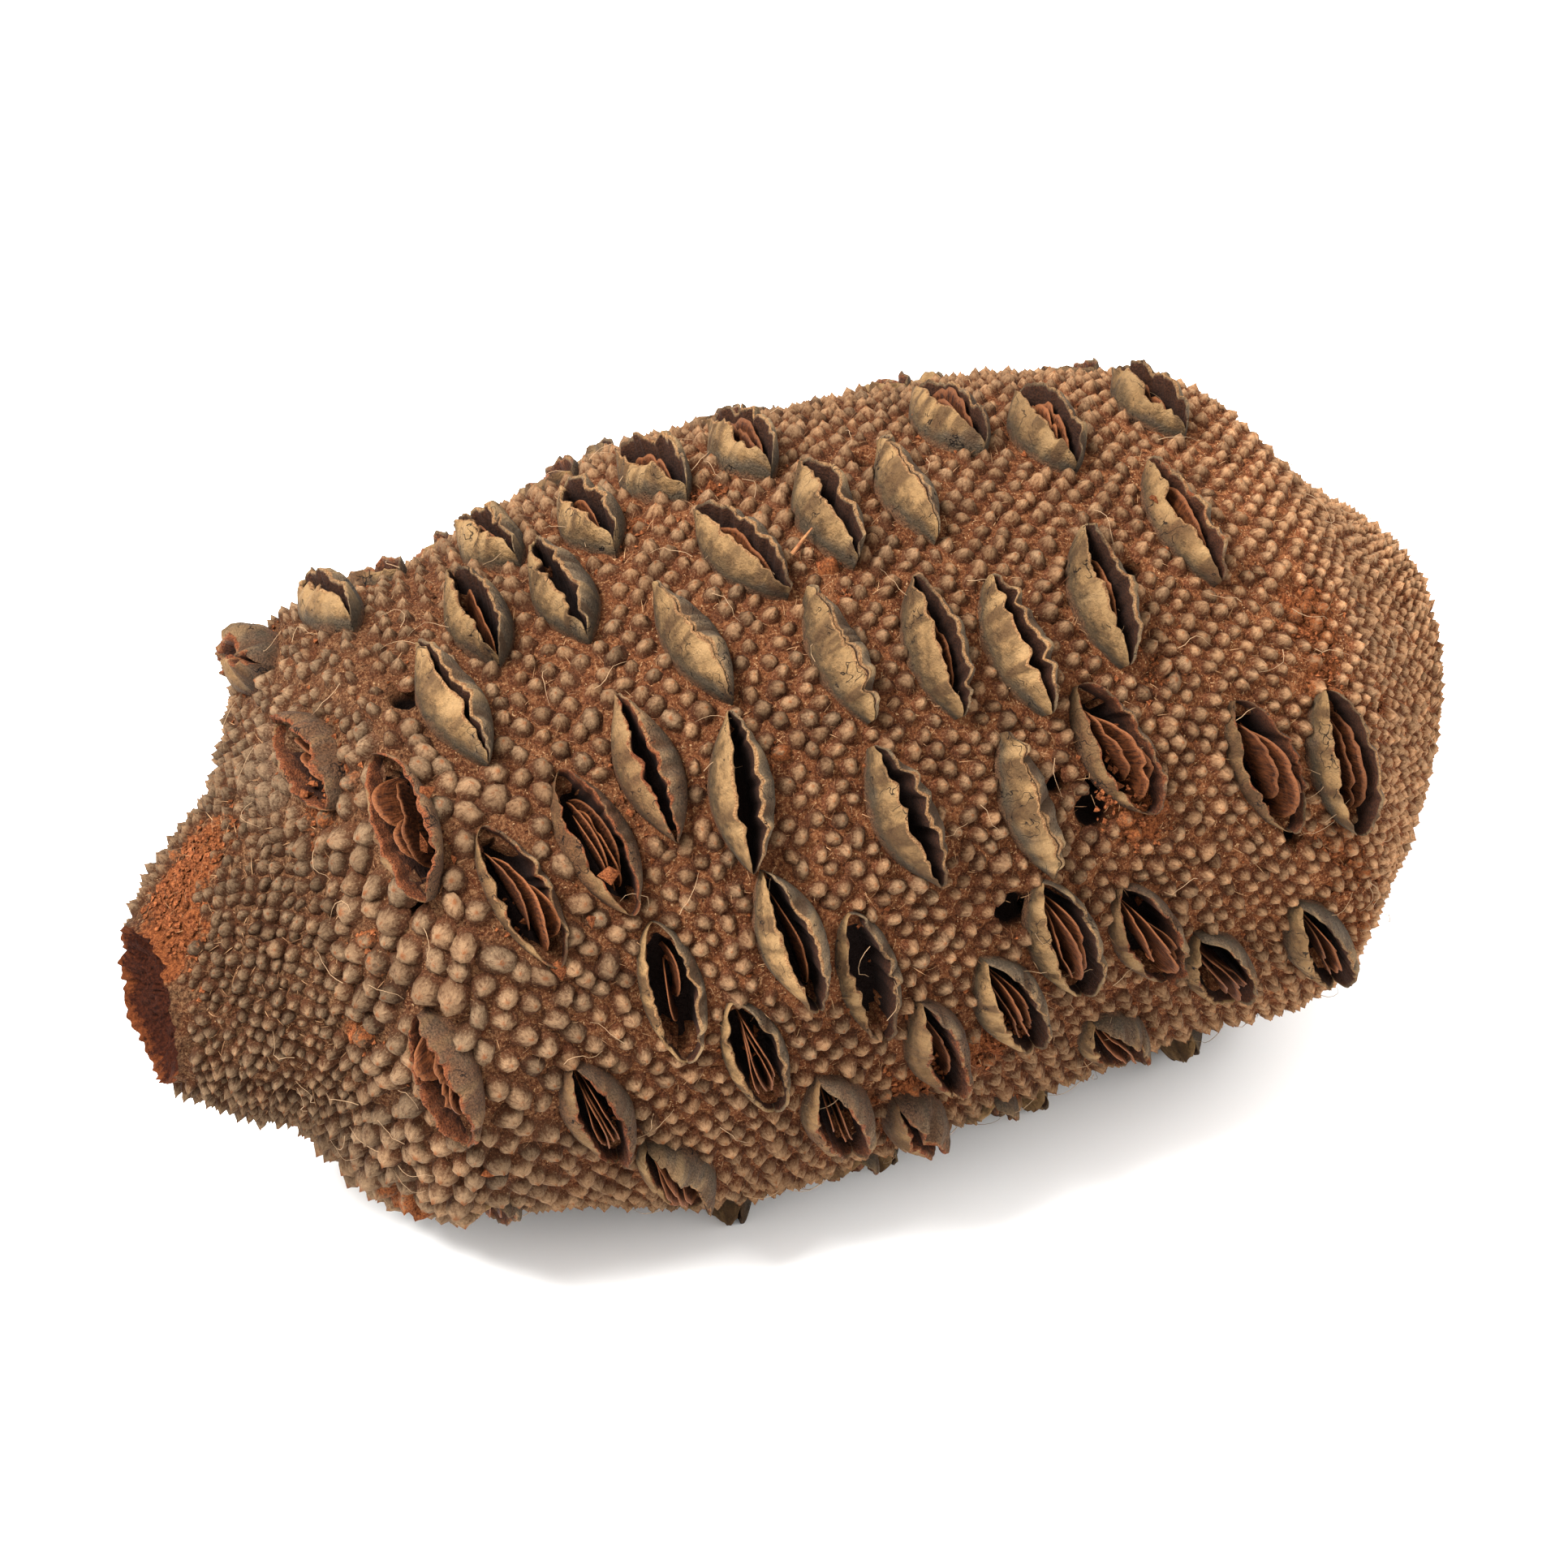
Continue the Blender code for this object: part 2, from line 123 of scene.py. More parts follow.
class Finish:
    """A material, as glossy in one place as in another."""

    def __init__(self, name, gloss):
        self.material = bpy.data.materials.new(name)
        self.material.use_nodes = True
        self.shader = self.material.node_tree.nodes["Principled BSDF"]
        self.shader.inputs["Specular IOR Level"].default_value = gloss

    def connect(self, socket, value):
        if isinstance(value, Value):
            self.material.node_tree.links.new(value.socket, socket)
        else:
            socket.default_value = value

    def node(self, kind, settings=None, sockets=None, output=0):
        made = self.material.node_tree.nodes.new(kind)
        for name, value in (settings or {}).items():
            setattr(made, name, value)
        for name, value in (sockets or {}).items():
            self.connect(made.inputs[name], value)
        return Value(self, made.outputs[output])

    def noise(self, where, scale, detail=3.0, roughness=0.6):
        return self.node("ShaderNodeTexNoise", {}, {"Vector": where, "Scale": scale,
                                                    "Detail": detail, "Roughness": roughness})

    def cloud(self, size, detail=3.0, roughness=0.6):
        """Values about 0.5, in patches of about a size in mm."""
        where = self.node("ShaderNodeTexCoord", output="Object")
        return self.noise(where, 1 / (size * MM), detail, roughness)

    def mark(self, name, output="Fac"):
        """A value that the mesh carries at its points."""
        return self.node("ShaderNodeAttribute", {"attribute_name": name}, output=output)

    def mix(self, share, one, other):
        """One colour where the share is 0 and the other where it is 1. Each is a value, or red,
        green and blue as they are seen."""
        one, other = (seen(*paint) if isinstance(paint, tuple) else paint for paint in (one, other))
        return self.node("ShaderNodeMix", {"data_type": "RGBA"}, {0: share, 6: one, 7: other}, 2)

    def coats(self, colour, *coats):
        """A colour with coats laid over it, each given by its share and its own colour."""
        for share, paint in coats:
            colour = self.mix(share, colour, paint)
        return colour

    def tone(self, colour, light):
        """A colour made lighter or darker by a value about 1."""
        return self.node("ShaderNodeVectorMath", {"operation": "SCALE"}, {0: colour, "Scale": light})

    def apply(self, colour, roughness=None, relief=None, depth=0.2):
        """Feed the shader. Relief from 0 to 1 stands out of the surface by a depth in mm."""
        self.connect(self.shader.inputs["Base Color"], colour)
        if roughness is not None:
            self.connect(self.shader.inputs["Roughness"], roughness)
        if relief is not None:
            bump = self.node("ShaderNodeBump", {}, {"Height": relief, "Distance": depth * MM})
            self.connect(self.shader.inputs["Normal"], bump)
        return self.material


def seen(red, green, blue):
    """The paint that looks like this on a screen in this light, each part from 0 to 255."""
    return (*(((part / 255 + 0.055) / 1.055) ** 2.4 / light
              for part, light in zip((red, green, blue), LIGHT)), 1.0)


table_mesh = bpy.data.meshes.new("table_top")
table_mesh.from_pydata([(-TABLE_HALF, -TABLE_HALF, 0), (TABLE_HALF, -TABLE_HALF, 0),
                        (TABLE_HALF, TABLE_HALF, 0), (-TABLE_HALF, TABLE_HALF, 0)],
                       [], [(0, 1, 2, 3)])
table_mesh.materials.append(Finish("pale_table", 0.1).apply(TABLE_SHADE, 0.9))
table_top = bpy.data.objects.new("table_top", table_mesh)
bpy.context.scene.collection.objects.link(table_top)

room = bpy.data.worlds.new("room")
room.use_nodes = True
room.node_tree.nodes["Background"].inputs["Color"].default_value = ROOM_SHADE
room.node_tree.nodes["Background"].inputs["Strength"].default_value = ROOM_STRENGTH
bpy.context.scene.world = room
bpy.context.scene.view_settings.view_transform = "Standard"
for name, (where, size, power) in LAMPS.items():
    lamp_data = bpy.data.lights.new(name, "AREA")
    lamp_data.size = size
    lamp_data.energy = power
    lamp = bpy.data.objects.new(name, lamp_data)
    bpy.context.scene.collection.objects.link(lamp)
    lamp.location = where
    lamp.rotation_euler = (-Vector(where)).to_track_quat("-Z", "Y").to_euler()

# The felted ground is the surface of the cone itself: short red-brown felt over the woody axis,
# which grew there. It is a sheet wrapped round the cone, let in under each follicle, and worn to
# orange crumbs in places. All sizes from here on are in mm.
LENGTH = (cad_box[1][0] - cad_box[0][0]) / MM
KEPT_CLEAR = 0.08
HALF_WIDTH = cad_box[1][1] / MM - KEPT_CLEAR
HIGHEST = cad_box[1][2] / MM - KEPT_CLEAR
# Radius by distance from the stem end, and how far each ring's centre is above the axis.
OUTLINE = ((0.0, 9.7), (3.0, 12.2), (9.5, 17.7), (16.0, 21.6), (23.0, 32.0), (28.0, 37.7),
           (33.0, 38.6), (47.0, 40.8), (60.0, 44.6), (77.0, 46.9), (97.0, 45.9), (116.0, 44.8),
           (133.0, 43.2), (145.0, 42.3), (155.0, 34.2), (162.5, 27.0), (169.0, 19.8),
           (174.0, 11.4), (176.0, 0.0))
BEND = ((0.0, -4.2), (16.0, -1.6), (29.0, 0.3), (54.0, -0.6), (88.0, 1.7), (122.0, 2.1),
        (146.0, -1.1), (162.0, -3.4), (176.0, 2.8))
SLOPE_REACH = 0.5
FINE_STEP = 0.02
GROUND_LEVEL = -0.95
GROUND_ROWS, GROUND_COLUMNS = 244, 330
LUMP_SIZE, LUMP_HEIGHT = 1.7, 0.34
TUFT_SIZE, TUFT_HEIGHT = 0.75, 0.34
WORN_DEPTH, WORN_TUFT_HEIGHT = 0.2, 0.5
UNDER_FOLLICLE, FOOT_COVER = -6.5, 0.7
RIM_JAG, RIM_JAG_SIZES, RIM_JAG_FADE = 1.1, (2.6, 0.7), 12
# Worn and dusty places: axial distance, bearing, half length and half width in mm, strength.
WORN_PLACES = ((6.2, -8, 6, 4.5, 1.0), (2.6, 14, 5, 5, 1.0), (9, -12, 5, 4, 0.9),
               (142, 46, 4.5, 5, 0.75), (141, 57, 3, 4.5, 0.65), (143, 92, 3.5, 5, 0.6),
               (140.5, 85, 3, 3.5, 0.6), (151, 62, 6, 2.5, 0.55), (91.5, 105, 6, 3.5, 1.0),
               (83, 107, 6, 4, 0.8), (108.5, 66, 2.5, 3.5, 0.8), (112.5, 72, 3.5, 4, 0.9),
               (18, 84, 2, 2.5, 0.7), (20, 60, 2, 2, 0.7), (75.7, -1, 2, 1.6, 0.9),
               (83, 21, 1.2, 1, 0.9), (83.3, 27, 1.1, 1, 0.9), (68.3, 45.5, 0.9, 0.9, 1.0),
               (26, 147, 6, 4, 0.9), (83, 123, 5, 4, 0.8), (146, 200, 6, 7, 0.7),
               (56, 250, 5, 6, 0.7), (64, -1, 4, 3, 0.6), (21, 20, 5, 3, 0.8),
               (146, 108, 5, 6, 0.6), (119, 52, 3, 3, 0.5))
DUSTY_PLACES = ((19, -3, 7, 9, 0.45), (16, 3, 4, 6, 0.35), (24, 20, 4, 6, 0.35),
                (148, 60, 9, 12, 0.3), (162, 20, 9, 14, 0.3), (116, 20, 8, 9, 0.25),
                (66, 10, 7, 8, 0.2), (36, -60, 12, 16, 0.3), (106, -70, 20, 22, 0.25))
# Small holes in the felt: axial distance, bearing and radius.
HOLES = ((96.5, 0.8, 1.3), (94.2, 81.5, 1.9), (106.5, 69.5, 2.0), (107.5, 65.5, 1.2), (120, 34, 1.1),
         (101.8, 63.3, 1.1), (31.6, 14.6, 1.3), (87.5, 112, 1.3), (134, 84, 1.2), (24, 53, 1.2))
HOLE_PLACES = [(axial, bearing, radius, radius, 1.0) for axial, bearing, radius in HOLES]
HOLE_DEPTH = 3.4
# How far from the broken rim the felt thins out.
RIM_FLARE = 1.6
# How light and how grey the felt is, by axial distance.
FELT_LIGHT = ((0, 0.8), (20, 0.95), (45, 1.0), (100, 1.05), (130, 1.35), (148, 2.0), (176, 2.1))
FELT_GREY = ((0, 0.8), (22, 0.7), (40, 0.25), (60, 0.0), (140, 0.0), (176, 0.25))
# A sideways step turns no faster than this near the axis.
SMALLEST_TURNING_RADIUS = 3.0
# A patch is at its full strength up to this far short of its edge, and gone as far past it.
PATCH_REACH = 1.6


class Glide:
    """A smooth line through the points of a table, which never swings past them."""

    def __init__(self, table):
        self.at, self.value = np.array(table, dtype=float).T
        steps = np.diff(self.value) / np.diff(self.at)
        before, after = steps[:-1], steps[1:]
        alike = before * after > 0
        inner = np.where(alike, 2 * before * after / np.where(alike, before + after, 1.0), 0.0)
        self.slope = np.concatenate((steps[:1], inner, steps[-1:]))

    def __call__(self, where):
        i = np.clip(np.searchsorted(self.at, where, side="right") - 1, 0, len(self.at) - 2)
        span = self.at[i + 1] - self.at[i]
        share = np.clip((where - self.at[i]) / span, 0, 1)
        rise = share * share * (3 - 2 * share)
        bow = self.slope[i] * share * (1 - share) ** 2
        bow = bow - self.slope[i + 1] * share ** 2 * (1 - share)
        return self.value[i] * (1 - rise) + self.value[i + 1] * rise + bow * span


axial_steps, radius_steps = np.array(OUTLINE).T
stations = np.concatenate(([0.0], np.cumsum(np.hypot(np.diff(axial_steps), np.diff(radius_steps)))))
SKIN_END = stations[-1]
axial_at = Glide(np.column_stack((stations, axial_steps)))
radius_at = Glide(np.column_stack((stations, radius_steps)))
bend_at = Glide(BEND)
fine_along = np.arange(0, SKIN_END, FINE_STEP)
fine_axial = axial_at(fine_along)


def along_at(axial):
    return np.interp(axial, fine_axial, fine_along)


def place(along, bearing, height):
    """Places in space, from the distance along the skin, the bearing and the height over it."""
    along, turn = np.clip(along, 0, SKIN_END), np.radians(bearing)
    back, ahead = np.maximum(along - SLOPE_REACH, 0), np.minimum(along + SLOPE_REACH, SKIN_END)
    forward, outward = axial_at(ahead) - axial_at(back), radius_at(ahead) - radius_at(back)
    step = np.hypot(forward, outward)
    radial = radius_at(along) + height * forward / step
    axial = axial_at(along) - height * outward / step
    x = np.clip(axial, KEPT_CLEAR, LENGTH - KEPT_CLEAR) - LENGTH / 2
    y = np.clip(-radial * np.sin(turn), -HALF_WIDTH, HALF_WIDTH)
    z = np.clip(AXIS_HEIGHT + bend_at(axial) + radial * np.cos(turn), KEPT_CLEAR, HIGHEST)
    return np.stack(np.broadcast_arrays(x, y, z), axis=-1)


def half_turn(bearing):
    """The same bearing, from -180 up to 180 degrees."""
    return (bearing + 180) % 360 - 180


def turned_by(aside, along):
    """The change of bearing of a sideways step on the skin."""
    return np.degrees(aside / np.maximum(radius_at(along), SMALLEST_TURNING_RADIUS))


# Uneven values come from a table that three large primes step through, one for each direction.
UNEVEN_COUNT, UNEVEN_STEPS, LAYER_SHIFT = 4096, (7919, 104729, 1299709), 31.7
uneven_table = np.random.default_rng(5).uniform(-1, 1, UNEVEN_COUNT)


def uneven(points, size, layer=0):
    """Cloudy values between -1 and 1 at places in mm, in patches of about a size in mm."""
    cell = np.asarray(points) / size + layer * LAYER_SHIFT
    low = np.floor(cell).astype(int)
    part = cell - low
    part = part * part * (3 - 2 * part)
    total = 0
    for corner in np.ndindex(2, 2, 2):
        picked = uneven_table[(low + corner) @ np.array(UNEVEN_STEPS) % UNEVEN_COUNT]
        total = total + picked * np.prod(np.where(corner, part, 1 - part), axis=-1)
    return total


@dataclass
class Follicle:
    """Where one follicle sits and how it has opened. A positive lean turns its end with the
    larger bearing towards the tip. The gap is between its lips, and torn and crust go from 0
    for sound clean lips to 1."""
    along: float
    bearing: float
    lean: float
    state: str
    gap: float
    torn: float
    crust: float
    plates: str = ""
    number: int = 0
    size: float = 0.92

    def spot(self, lengthwise, crosswise):
        """Distance along and bearing of a place in the follicle's own length and width."""
        lengthwise = lengthwise * self.size
        lean = math.radians(self.lean)
        forward = crosswise * math.cos(lean) + lengthwise * math.sin(lean)
        sideways = lengthwise * math.cos(lean) - crosswise * math.sin(lean)
        return self.along + forward, self.bearing + np.degrees(sideways / radius_at(self.along))

    def offset(self, along, bearing):
        """A place on the skin, in the follicle's own length and width."""
        lean = math.radians(self.lean)
        forward = along - self.along
        turn = half_turn(bearing - self.bearing)
        sideways = np.radians(turn) * radius_at(self.along)
        return (sideways * math.cos(lean) + forward * math.sin(lean),
                forward * math.cos(lean) - sideways * math.sin(lean))

    def covers(self, along, bearing, clearance):
        """Whether the follicle's leaf-shaped foot, grown by a clearance, holds a place."""
        lengthwise, crosswise = self.offset(along, bearing)
        reach = FOLLICLE_HALF_LENGTH * self.size + clearance
        width = HALF_WIDTHS[self.state] * (1 - (lengthwise / reach) ** 2) + clearance
        return (abs(lengthwise) < reach) & (abs(crosswise) < width)


# The follicles of the near side and the top, rank by rank: axial distance, bearing, lean in
# degrees, state, gap in mm, torn, crust, and the plates inside if any. The far side and the underside
# follow the same ranks by rule.
SHUT, SLIT, AJAR, GAPE, WORN = "shut", "slit", "ajar", "gape", "worn"
ONE, PAIR, BLADES, CURL, BROKEN, THIN, STUBS = (
    "one", "pair", "blades", "curl", "broken", "thin", "stubs")
FOLLICLE_HALF_LENGTH = 9.6
HALF_WIDTHS = {SHUT: 3.3, SLIT: 3.9, AJAR: 4.0, GAPE: 4.3, WORN: 3.8}
RANKS = (
    ((24, -37, -5, SLIT, 1.2, 0.6, 0.8), (31, -18, 0, SLIT, 1.4, 0.5, 0.3),
     (52, -16, 3, SLIT, 2.0, 0.5, 0.3, ONE), (62, -6, -2, SLIT, 2.9, 0.5, 0.2, ONE),
     (72, -10, 6, AJAR, 3.2, 0.7, 0.3, ONE), (83, -8, 1, AJAR, 3.4, 0.6, 0.4, PAIR),
     (109, -3, 6, GAPE, 3.4, 0.4, 0.3, PAIR), (119, 5, 0, GAPE, 3.4, 0.3, 0.4, PAIR),
     (136, -1, 6, AJAR, 2.8, 0.7, 0.5, ONE)),
    ((21, 9, 1, GAPE, 4.6, 0.9, 1.0, STUBS), (44, 4, -6, AJAR, 3.3, 0.6, 0.5, ONE),
     (54, 7, -3, SLIT, 2.0, 0.1, 0.1), (74, 15, 17, SLIT, 2.6, 0.4, 0.2, ONE),
     (86, 13, -2, SLIT, 2.4, 0.3, 0.1), (97, 12, -1, SHUT, 0, 0.0, 0.2)),
    ((36, 21, 5, SLIT, 0.8, 0.1, 0.0), (64, 26, 9, SHUT, 0, 0.0, 0.0),
     (79, 36, 5, SHUT, 0, 0.0, 0.0), (91, 39, -2, SLIT, 2.6, 0.4, 0.1, ONE),
     (101, 42, 5, SLIT, 2.1, 0.1, 0.1), (114, 38, -3, AJAR, 2.7, 0.5, 0.4, ONE),
     (129, 28, 6, AJAR, 2.5, 0.8, 0.6, ONE)),
    ((26, 39, 0, GAPE, 4.8, 0.7, 1.0, BROKEN), (54, 42, 4, SLIT, 1.5, 0.3, 0.8),
     (63, 50, -8, SLIT, 2.6, 0.0, 0.0), (81, 61, 14, SLIT, 2.4, 0.1, 0.0),
     (97, 65, 8, SHUT, 0, 0.0, 0.0), (110, 61, 20, GAPE, 5.0, 0.9, 0.8, CURL),
     (130, 70, 18, GAPE, 5.4, 1.0, 0.8, CURL), (141, 71, 6, GAPE, 5.0, 0.4, 0.5, PAIR)),
    ((46, 51, 12, GAPE, 4.4, 0.8, 0.9, THIN), (36, 57, 16, WORN, 5.2, 0.8, 0.7, CURL),
     (51, 78, 7, WORN, 4.6, 0.7, 0.5, STUBS), (65, 73, 13, AJAR, 3.0, 0.4, 0.3, ONE),
     (74, 83, 11, WORN, 3.8, 1.0, 0.5), (100, 88, 18, GAPE, 4.8, 0.7, 0.4, BLADES),
     (112, 93, 24, GAPE, 5.0, 1.0, 0.8, CURL)),
    ((25, 89, 18, GAPE, 4.4, 0.6, 1.0, BROKEN), (42, 101, 21, GAPE, 4.0, 0.8, 0.9, THIN),
     (60, 92, 17, WORN, 4.4, 0.9, 0.5, THIN), (83, 100, 19, AJAR, 2.8, 0.7, 0.8, ONE),
     (93, 97, 26, GAPE, 4.2, 0.5, 0.5, BLADES), (124, 107, 30, GAPE, 5.2, 0.8, 0.6, CURL),
     (139, 107, 28, GAPE, 4.2, 0.4, 0.5, PAIR)),
    ((53, 120, 34, GAPE, 4.0, 0.6, 0.7, BLADES), (71, 109, 22, GAPE, 4.2, 0.7, 0.8, BROKEN),
     (83, 119, 30, SLIT, 1.8, 0.5, 0.8), (111, 118, 34, GAPE, 4.4, 0.8, 0.7, PAIR)),
)
# How long those of each row are, for a full length of one.
RANK_SIZES = (0.78, 0.86, 0.92, 0.96, 0.96, 0.94, 0.92)
FAR_BEARINGS = range(140, 321, 20)
FAR_FIRST, FAR_LAST, FAR_STEP = 32.0, 142.0, 23.0
FAR_STRAY, FAR_STRAY_DEGREES, FAR_LEAN, FAR_LEAN_STRAY = 2.5, 3.0, 8.0, 9.0
FAR_STATES = (SHUT, SLIT, SLIT, AJAR, AJAR, GAPE)
FAR_LOOKS = {SHUT: (0, 0.0, 0.1), SLIT: (1.9, 0.2, 0.2),
             AJAR: (2.8, 0.5, 0.4, ONE), GAPE: (4.6, 0.7, 0.6, PAIR), WORN: (4.6, 0.9, 0.7, STUBS)}
UNDERSIDE = range(160, 220)
WORN_ROWS = (140, 320)
FOLLICLE_ROOM = (10.5, 21.5)


def far_state(bearing, draw):
    """The state of a follicle of the far rows: worn down where they border the near side."""
    if bearing in WORN_ROWS:
        return WORN
    return SLIT if bearing in UNDERSIDE else draw.choice(FAR_STATES)


follicles = [Follicle(float(along_at(axial)), *looks, size=size)
             for rank, size in zip(RANKS, RANK_SIZES) for axial, *looks in rank]
near_count = len(follicles)
far_draw = random.Random(20)
for number, bearing in enumerate(FAR_BEARINGS):
    axial = FAR_FIRST + FAR_STEP / 2 * (number % 2)
    while axial < FAR_LAST:
        where = (float(along_at(axial + far_draw.uniform(-FAR_STRAY, FAR_STRAY))),
                 bearing + far_draw.uniform(-FAR_STRAY_DEGREES, FAR_STRAY_DEGREES),
                 FAR_LEAN + far_draw.uniform(-FAR_LEAN_STRAY, FAR_LEAN_STRAY))
        state = far_state(bearing, far_draw)
        found = Follicle(*where, state, *FAR_LOOKS[state])
        offsets = [other.offset(found.along, found.bearing) for other in follicles]
        if all(math.hypot(crosswise / FOLLICLE_ROOM[0], lengthwise / FOLLICLE_ROOM[1]) > 1
               for lengthwise, crosswise in offsets):
            follicles.append(found)
        axial += FAR_STEP
for number, follicle in enumerate(follicles):
    follicle.number = number


def strength_at(places, along, bearing):
    """How strongly a place on the skin belongs to any of some soft-edged patches."""
    total = np.zeros(np.broadcast(along, bearing).shape)
    for axial, middle, half_length, half_width, strength in places:
        forward = (along - along_at(axial)) / half_length
        turn = half_turn(bearing - middle)
        sideways = np.radians(turn) * radius_at(along) / half_width
        total = np.maximum(total, strength * np.clip(PATCH_REACH - np.hypot(forward, sideways), 0, 1))
    return total


def sheet_faces(rows, columns, closed=False):
    """Four-sided faces of a sheet of points, closed round its columns or open."""
    row, column = np.mgrid[0:rows - 1, 0:columns if closed else columns - 1]
    beside = (column + 1) % columns
    corners = (row * columns + column, row * columns + beside,
               (row + 1) * columns + beside, (row + 1) * columns + column)
    return np.stack([corner.ravel() for corner in corners], axis=-1)


VECTOR_MARKS = ("streak",)


def add_piece(name, points, faces, marks, material, smooth=True):
    """An object made of points in mm, with the values that its material reads at its points."""
    mesh = bpy.data.meshes.new(name)
    mesh.from_pydata((np.reshape(points, (-1, 3)) * MM).tolist(), [], faces)
    mesh.polygons.foreach_set("use_smooth", [smooth] * len(mesh.polygons))
    for mark, values in marks.items():
        values = np.asarray(values, dtype=np.float32)
        is_vector = mark in VECTOR_MARKS
        attribute = mesh.attributes.new(mark, "FLOAT_VECTOR" if is_vector else "FLOAT", "POINT")
        attribute.data.foreach_set("vector" if is_vector else "value", np.ravel(values))
    mesh.materials.append(material)
    mesh.validate()
    piece = bpy.data.objects.new(name, mesh)
    bpy.context.scene.collection.objects.link(piece)
    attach(piece, "root")
    return piece


felt = Finish("red_brown_felt", 0.05)
worn, dusty, light, grey, hole_shade = (felt.mark(name) for name in ("worn", "dusty", "light", "grey", "hole_shade"))
fuzz, clumps = felt.cloud(0.42, 4.0, 0.75), felt.cloud(2.2)
specks, fine = felt.cloud(0.34, 2.0, 0.5), felt.cloud(0.22, 2.0)
grey_colour = felt.mix(fuzz.between(0.4, 0.62), (62, 46, 34), (150, 122, 96))
crumbly = felt.mix(fuzz.between(0.38, 0.62), (92, 46, 27), (182, 114, 72))
dust_colour = felt.mix(fuzz.between(0.4, 0.6), (140, 118, 98), (190, 168, 144))
felt_colour = felt.coats(
    felt.mix(clumps.between(0.35, 0.65), (102, 59, 37), (148, 97, 66)),
    (fuzz.between(0.47, 0.35), (62, 36, 24)),
    (fuzz.between(0.52, 0.66), (190, 145, 108)),
    (specks.between(0.64, 0.72), (226, 190, 150)),
    (grey * clumps.between(0.3, 0.6), grey_colour))
# Over the toned felt: orange crumbs where it is worn, dust, and near-black painted shade down in the
# holes.
felt_colour = felt.coats(
    felt.tone(felt_colour, light),
    ((worn + (clumps - 0.5) * 1.6).between(0.42, 0.62), crumbly),
    ((dusty * fuzz * 2.0).between(0.35, 1.0), dust_colour),
    ((hole_shade + (fuzz - 0.5) * 0.6).between(0.25, 0.6), (26, 15, 10)))
felt_material = felt.apply(felt_colour, 0.97, fuzz + specks * 0.5 + fine * 0.3, 0.6)

draw = np.random.default_rng(11)
ground_bearing = np.arange(GROUND_COLUMNS)[None] * 360 / GROUND_COLUMNS
rim_points = place(0.0, ground_bearing, 0.0)
rim_jag = sum(1 + uneven(rim_points, size) for size in RIM_JAG_SIZES) / 2 * RIM_JAG
rim_jag = rim_jag - rim_jag.min()
ground_along = np.linspace(0, SKIN_END, GROUND_ROWS, endpoint=False)[:, None]
ground_along = ground_along + rim_jag * (1 - ground_along / SKIN_END) ** RIM_JAG_FADE
ground_worn = strength_at(WORN_PLACES, ground_along, ground_bearing)
ground_dusty = strength_at(DUSTY_PLACES, ground_along, ground_bearing)
ground_light = Glide(FELT_LIGHT)(axial_at(ground_along))
ground_grey = Glide(FELT_GREY)(axial_at(ground_along))
ground_hole = strength_at(HOLE_PLACES, ground_along, ground_bearing)
level_points = place(ground_along, ground_bearing, 0.0)
ground_height = (GROUND_LEVEL + LUMP_HEIGHT * uneven(level_points, LUMP_SIZE)
                 + TUFT_HEIGHT * uneven(level_points, TUFT_SIZE, 1)
                 + ground_worn * (WORN_TUFT_HEIGHT * uneven(level_points, TUFT_SIZE, 2)
                                  - WORN_DEPTH) - ground_hole * HOLE_DEPTH)
ground_height = ground_height * np.clip(ground_along / RIM_FLARE, 0, 1)
for follicle in follicles:
    under = follicle.covers(ground_along, ground_bearing, -FOOT_COVER)
    ground_height[under] = UNDER_FOLLICLE
ground_points = place(ground_along, ground_bearing, ground_height).reshape(-1, 3)
ground_points = np.vstack((ground_points, place(SKIN_END, 0.0, GROUND_LEVEL)[None]))
last_row = (GROUND_ROWS - 1) * GROUND_COLUMNS
ground_faces = sheet_faces(GROUND_ROWS, GROUND_COLUMNS, closed=True).tolist()
ground_faces += [(last_row + i, last_row + (i + 1) % GROUND_COLUMNS, len(ground_points) - 1)
                 for i in range(GROUND_COLUMNS)]
ground_marks = {"worn": ground_worn, "dusty": ground_dusty, "light": ground_light,
                "grey": ground_grey, "hole_shade": ground_hole}
ground = add_piece("felted_ground", ground_points, ground_faces,
                   {name: np.append(values, values[-1, -1]) for name, values in ground_marks.items()},
                   felt_material)
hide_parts("cone")

# The bract knobs are the blunt woody ends of the bracts that stood round each flower. They grew
# out of the ground in a spiral. They are small and pointed on the neck and at the tip, and big
# and blunt on the lower shoulder, with small ones between them on its upper side.
GOLDEN_ANGLE = 180 * (3 - math.sqrt(5))
# By axial distance: ground for each knob in square mm, radius and height of a knob, how pointed
# and how grey it is, and how light.
KNOB_GROUND = Glide(((0, 2.9), (15, 3.3), (20, 9.0), (27, 12.5), (38, 9.5), (50, 7.0), (96, 6.0),
                     (136, 5.4), (148, 4.2), (160, 3.7), (176, 3.5)))
KNOB_RADIUS = Glide(((0, 0.84), (15, 0.90), (20, 1.38), (27, 1.60), (38, 1.34), (50, 1.06),
                     (96, 0.97), (136, 0.92), (148, 0.84), (160, 0.78), (176, 0.75)))
KNOB_HEIGHT = Glide(((0, 1.75), (15, 1.8), (22, 2.35), (36, 2.1), (50, 1.82), (100, 1.72), (136, 1.66),
                     (148, 1.3), (160, 1.15), (176, 1.1)))
KNOB_POINTED = Glide(((0, 0.9), (15, 0.8), (21, 0.15), (40, 0.2), (56, 0.45), (136, 0.5),
                      (150, 0.4), (176, 0.4)))
KNOB_GREY = Glide(((0, 0.8), (22, 0.75), (36, 0.5), (52, 0.25), (100, 0.12), (140, 0.05), (176, 0.1)))
KNOB_LIGHT = Glide(((0, 0.80), (17, 0.86), (24, 1.0), (40, 1.0), (100, 1.0), (130, 1.2), (147, 1.7),
                    (176, 2.0)))
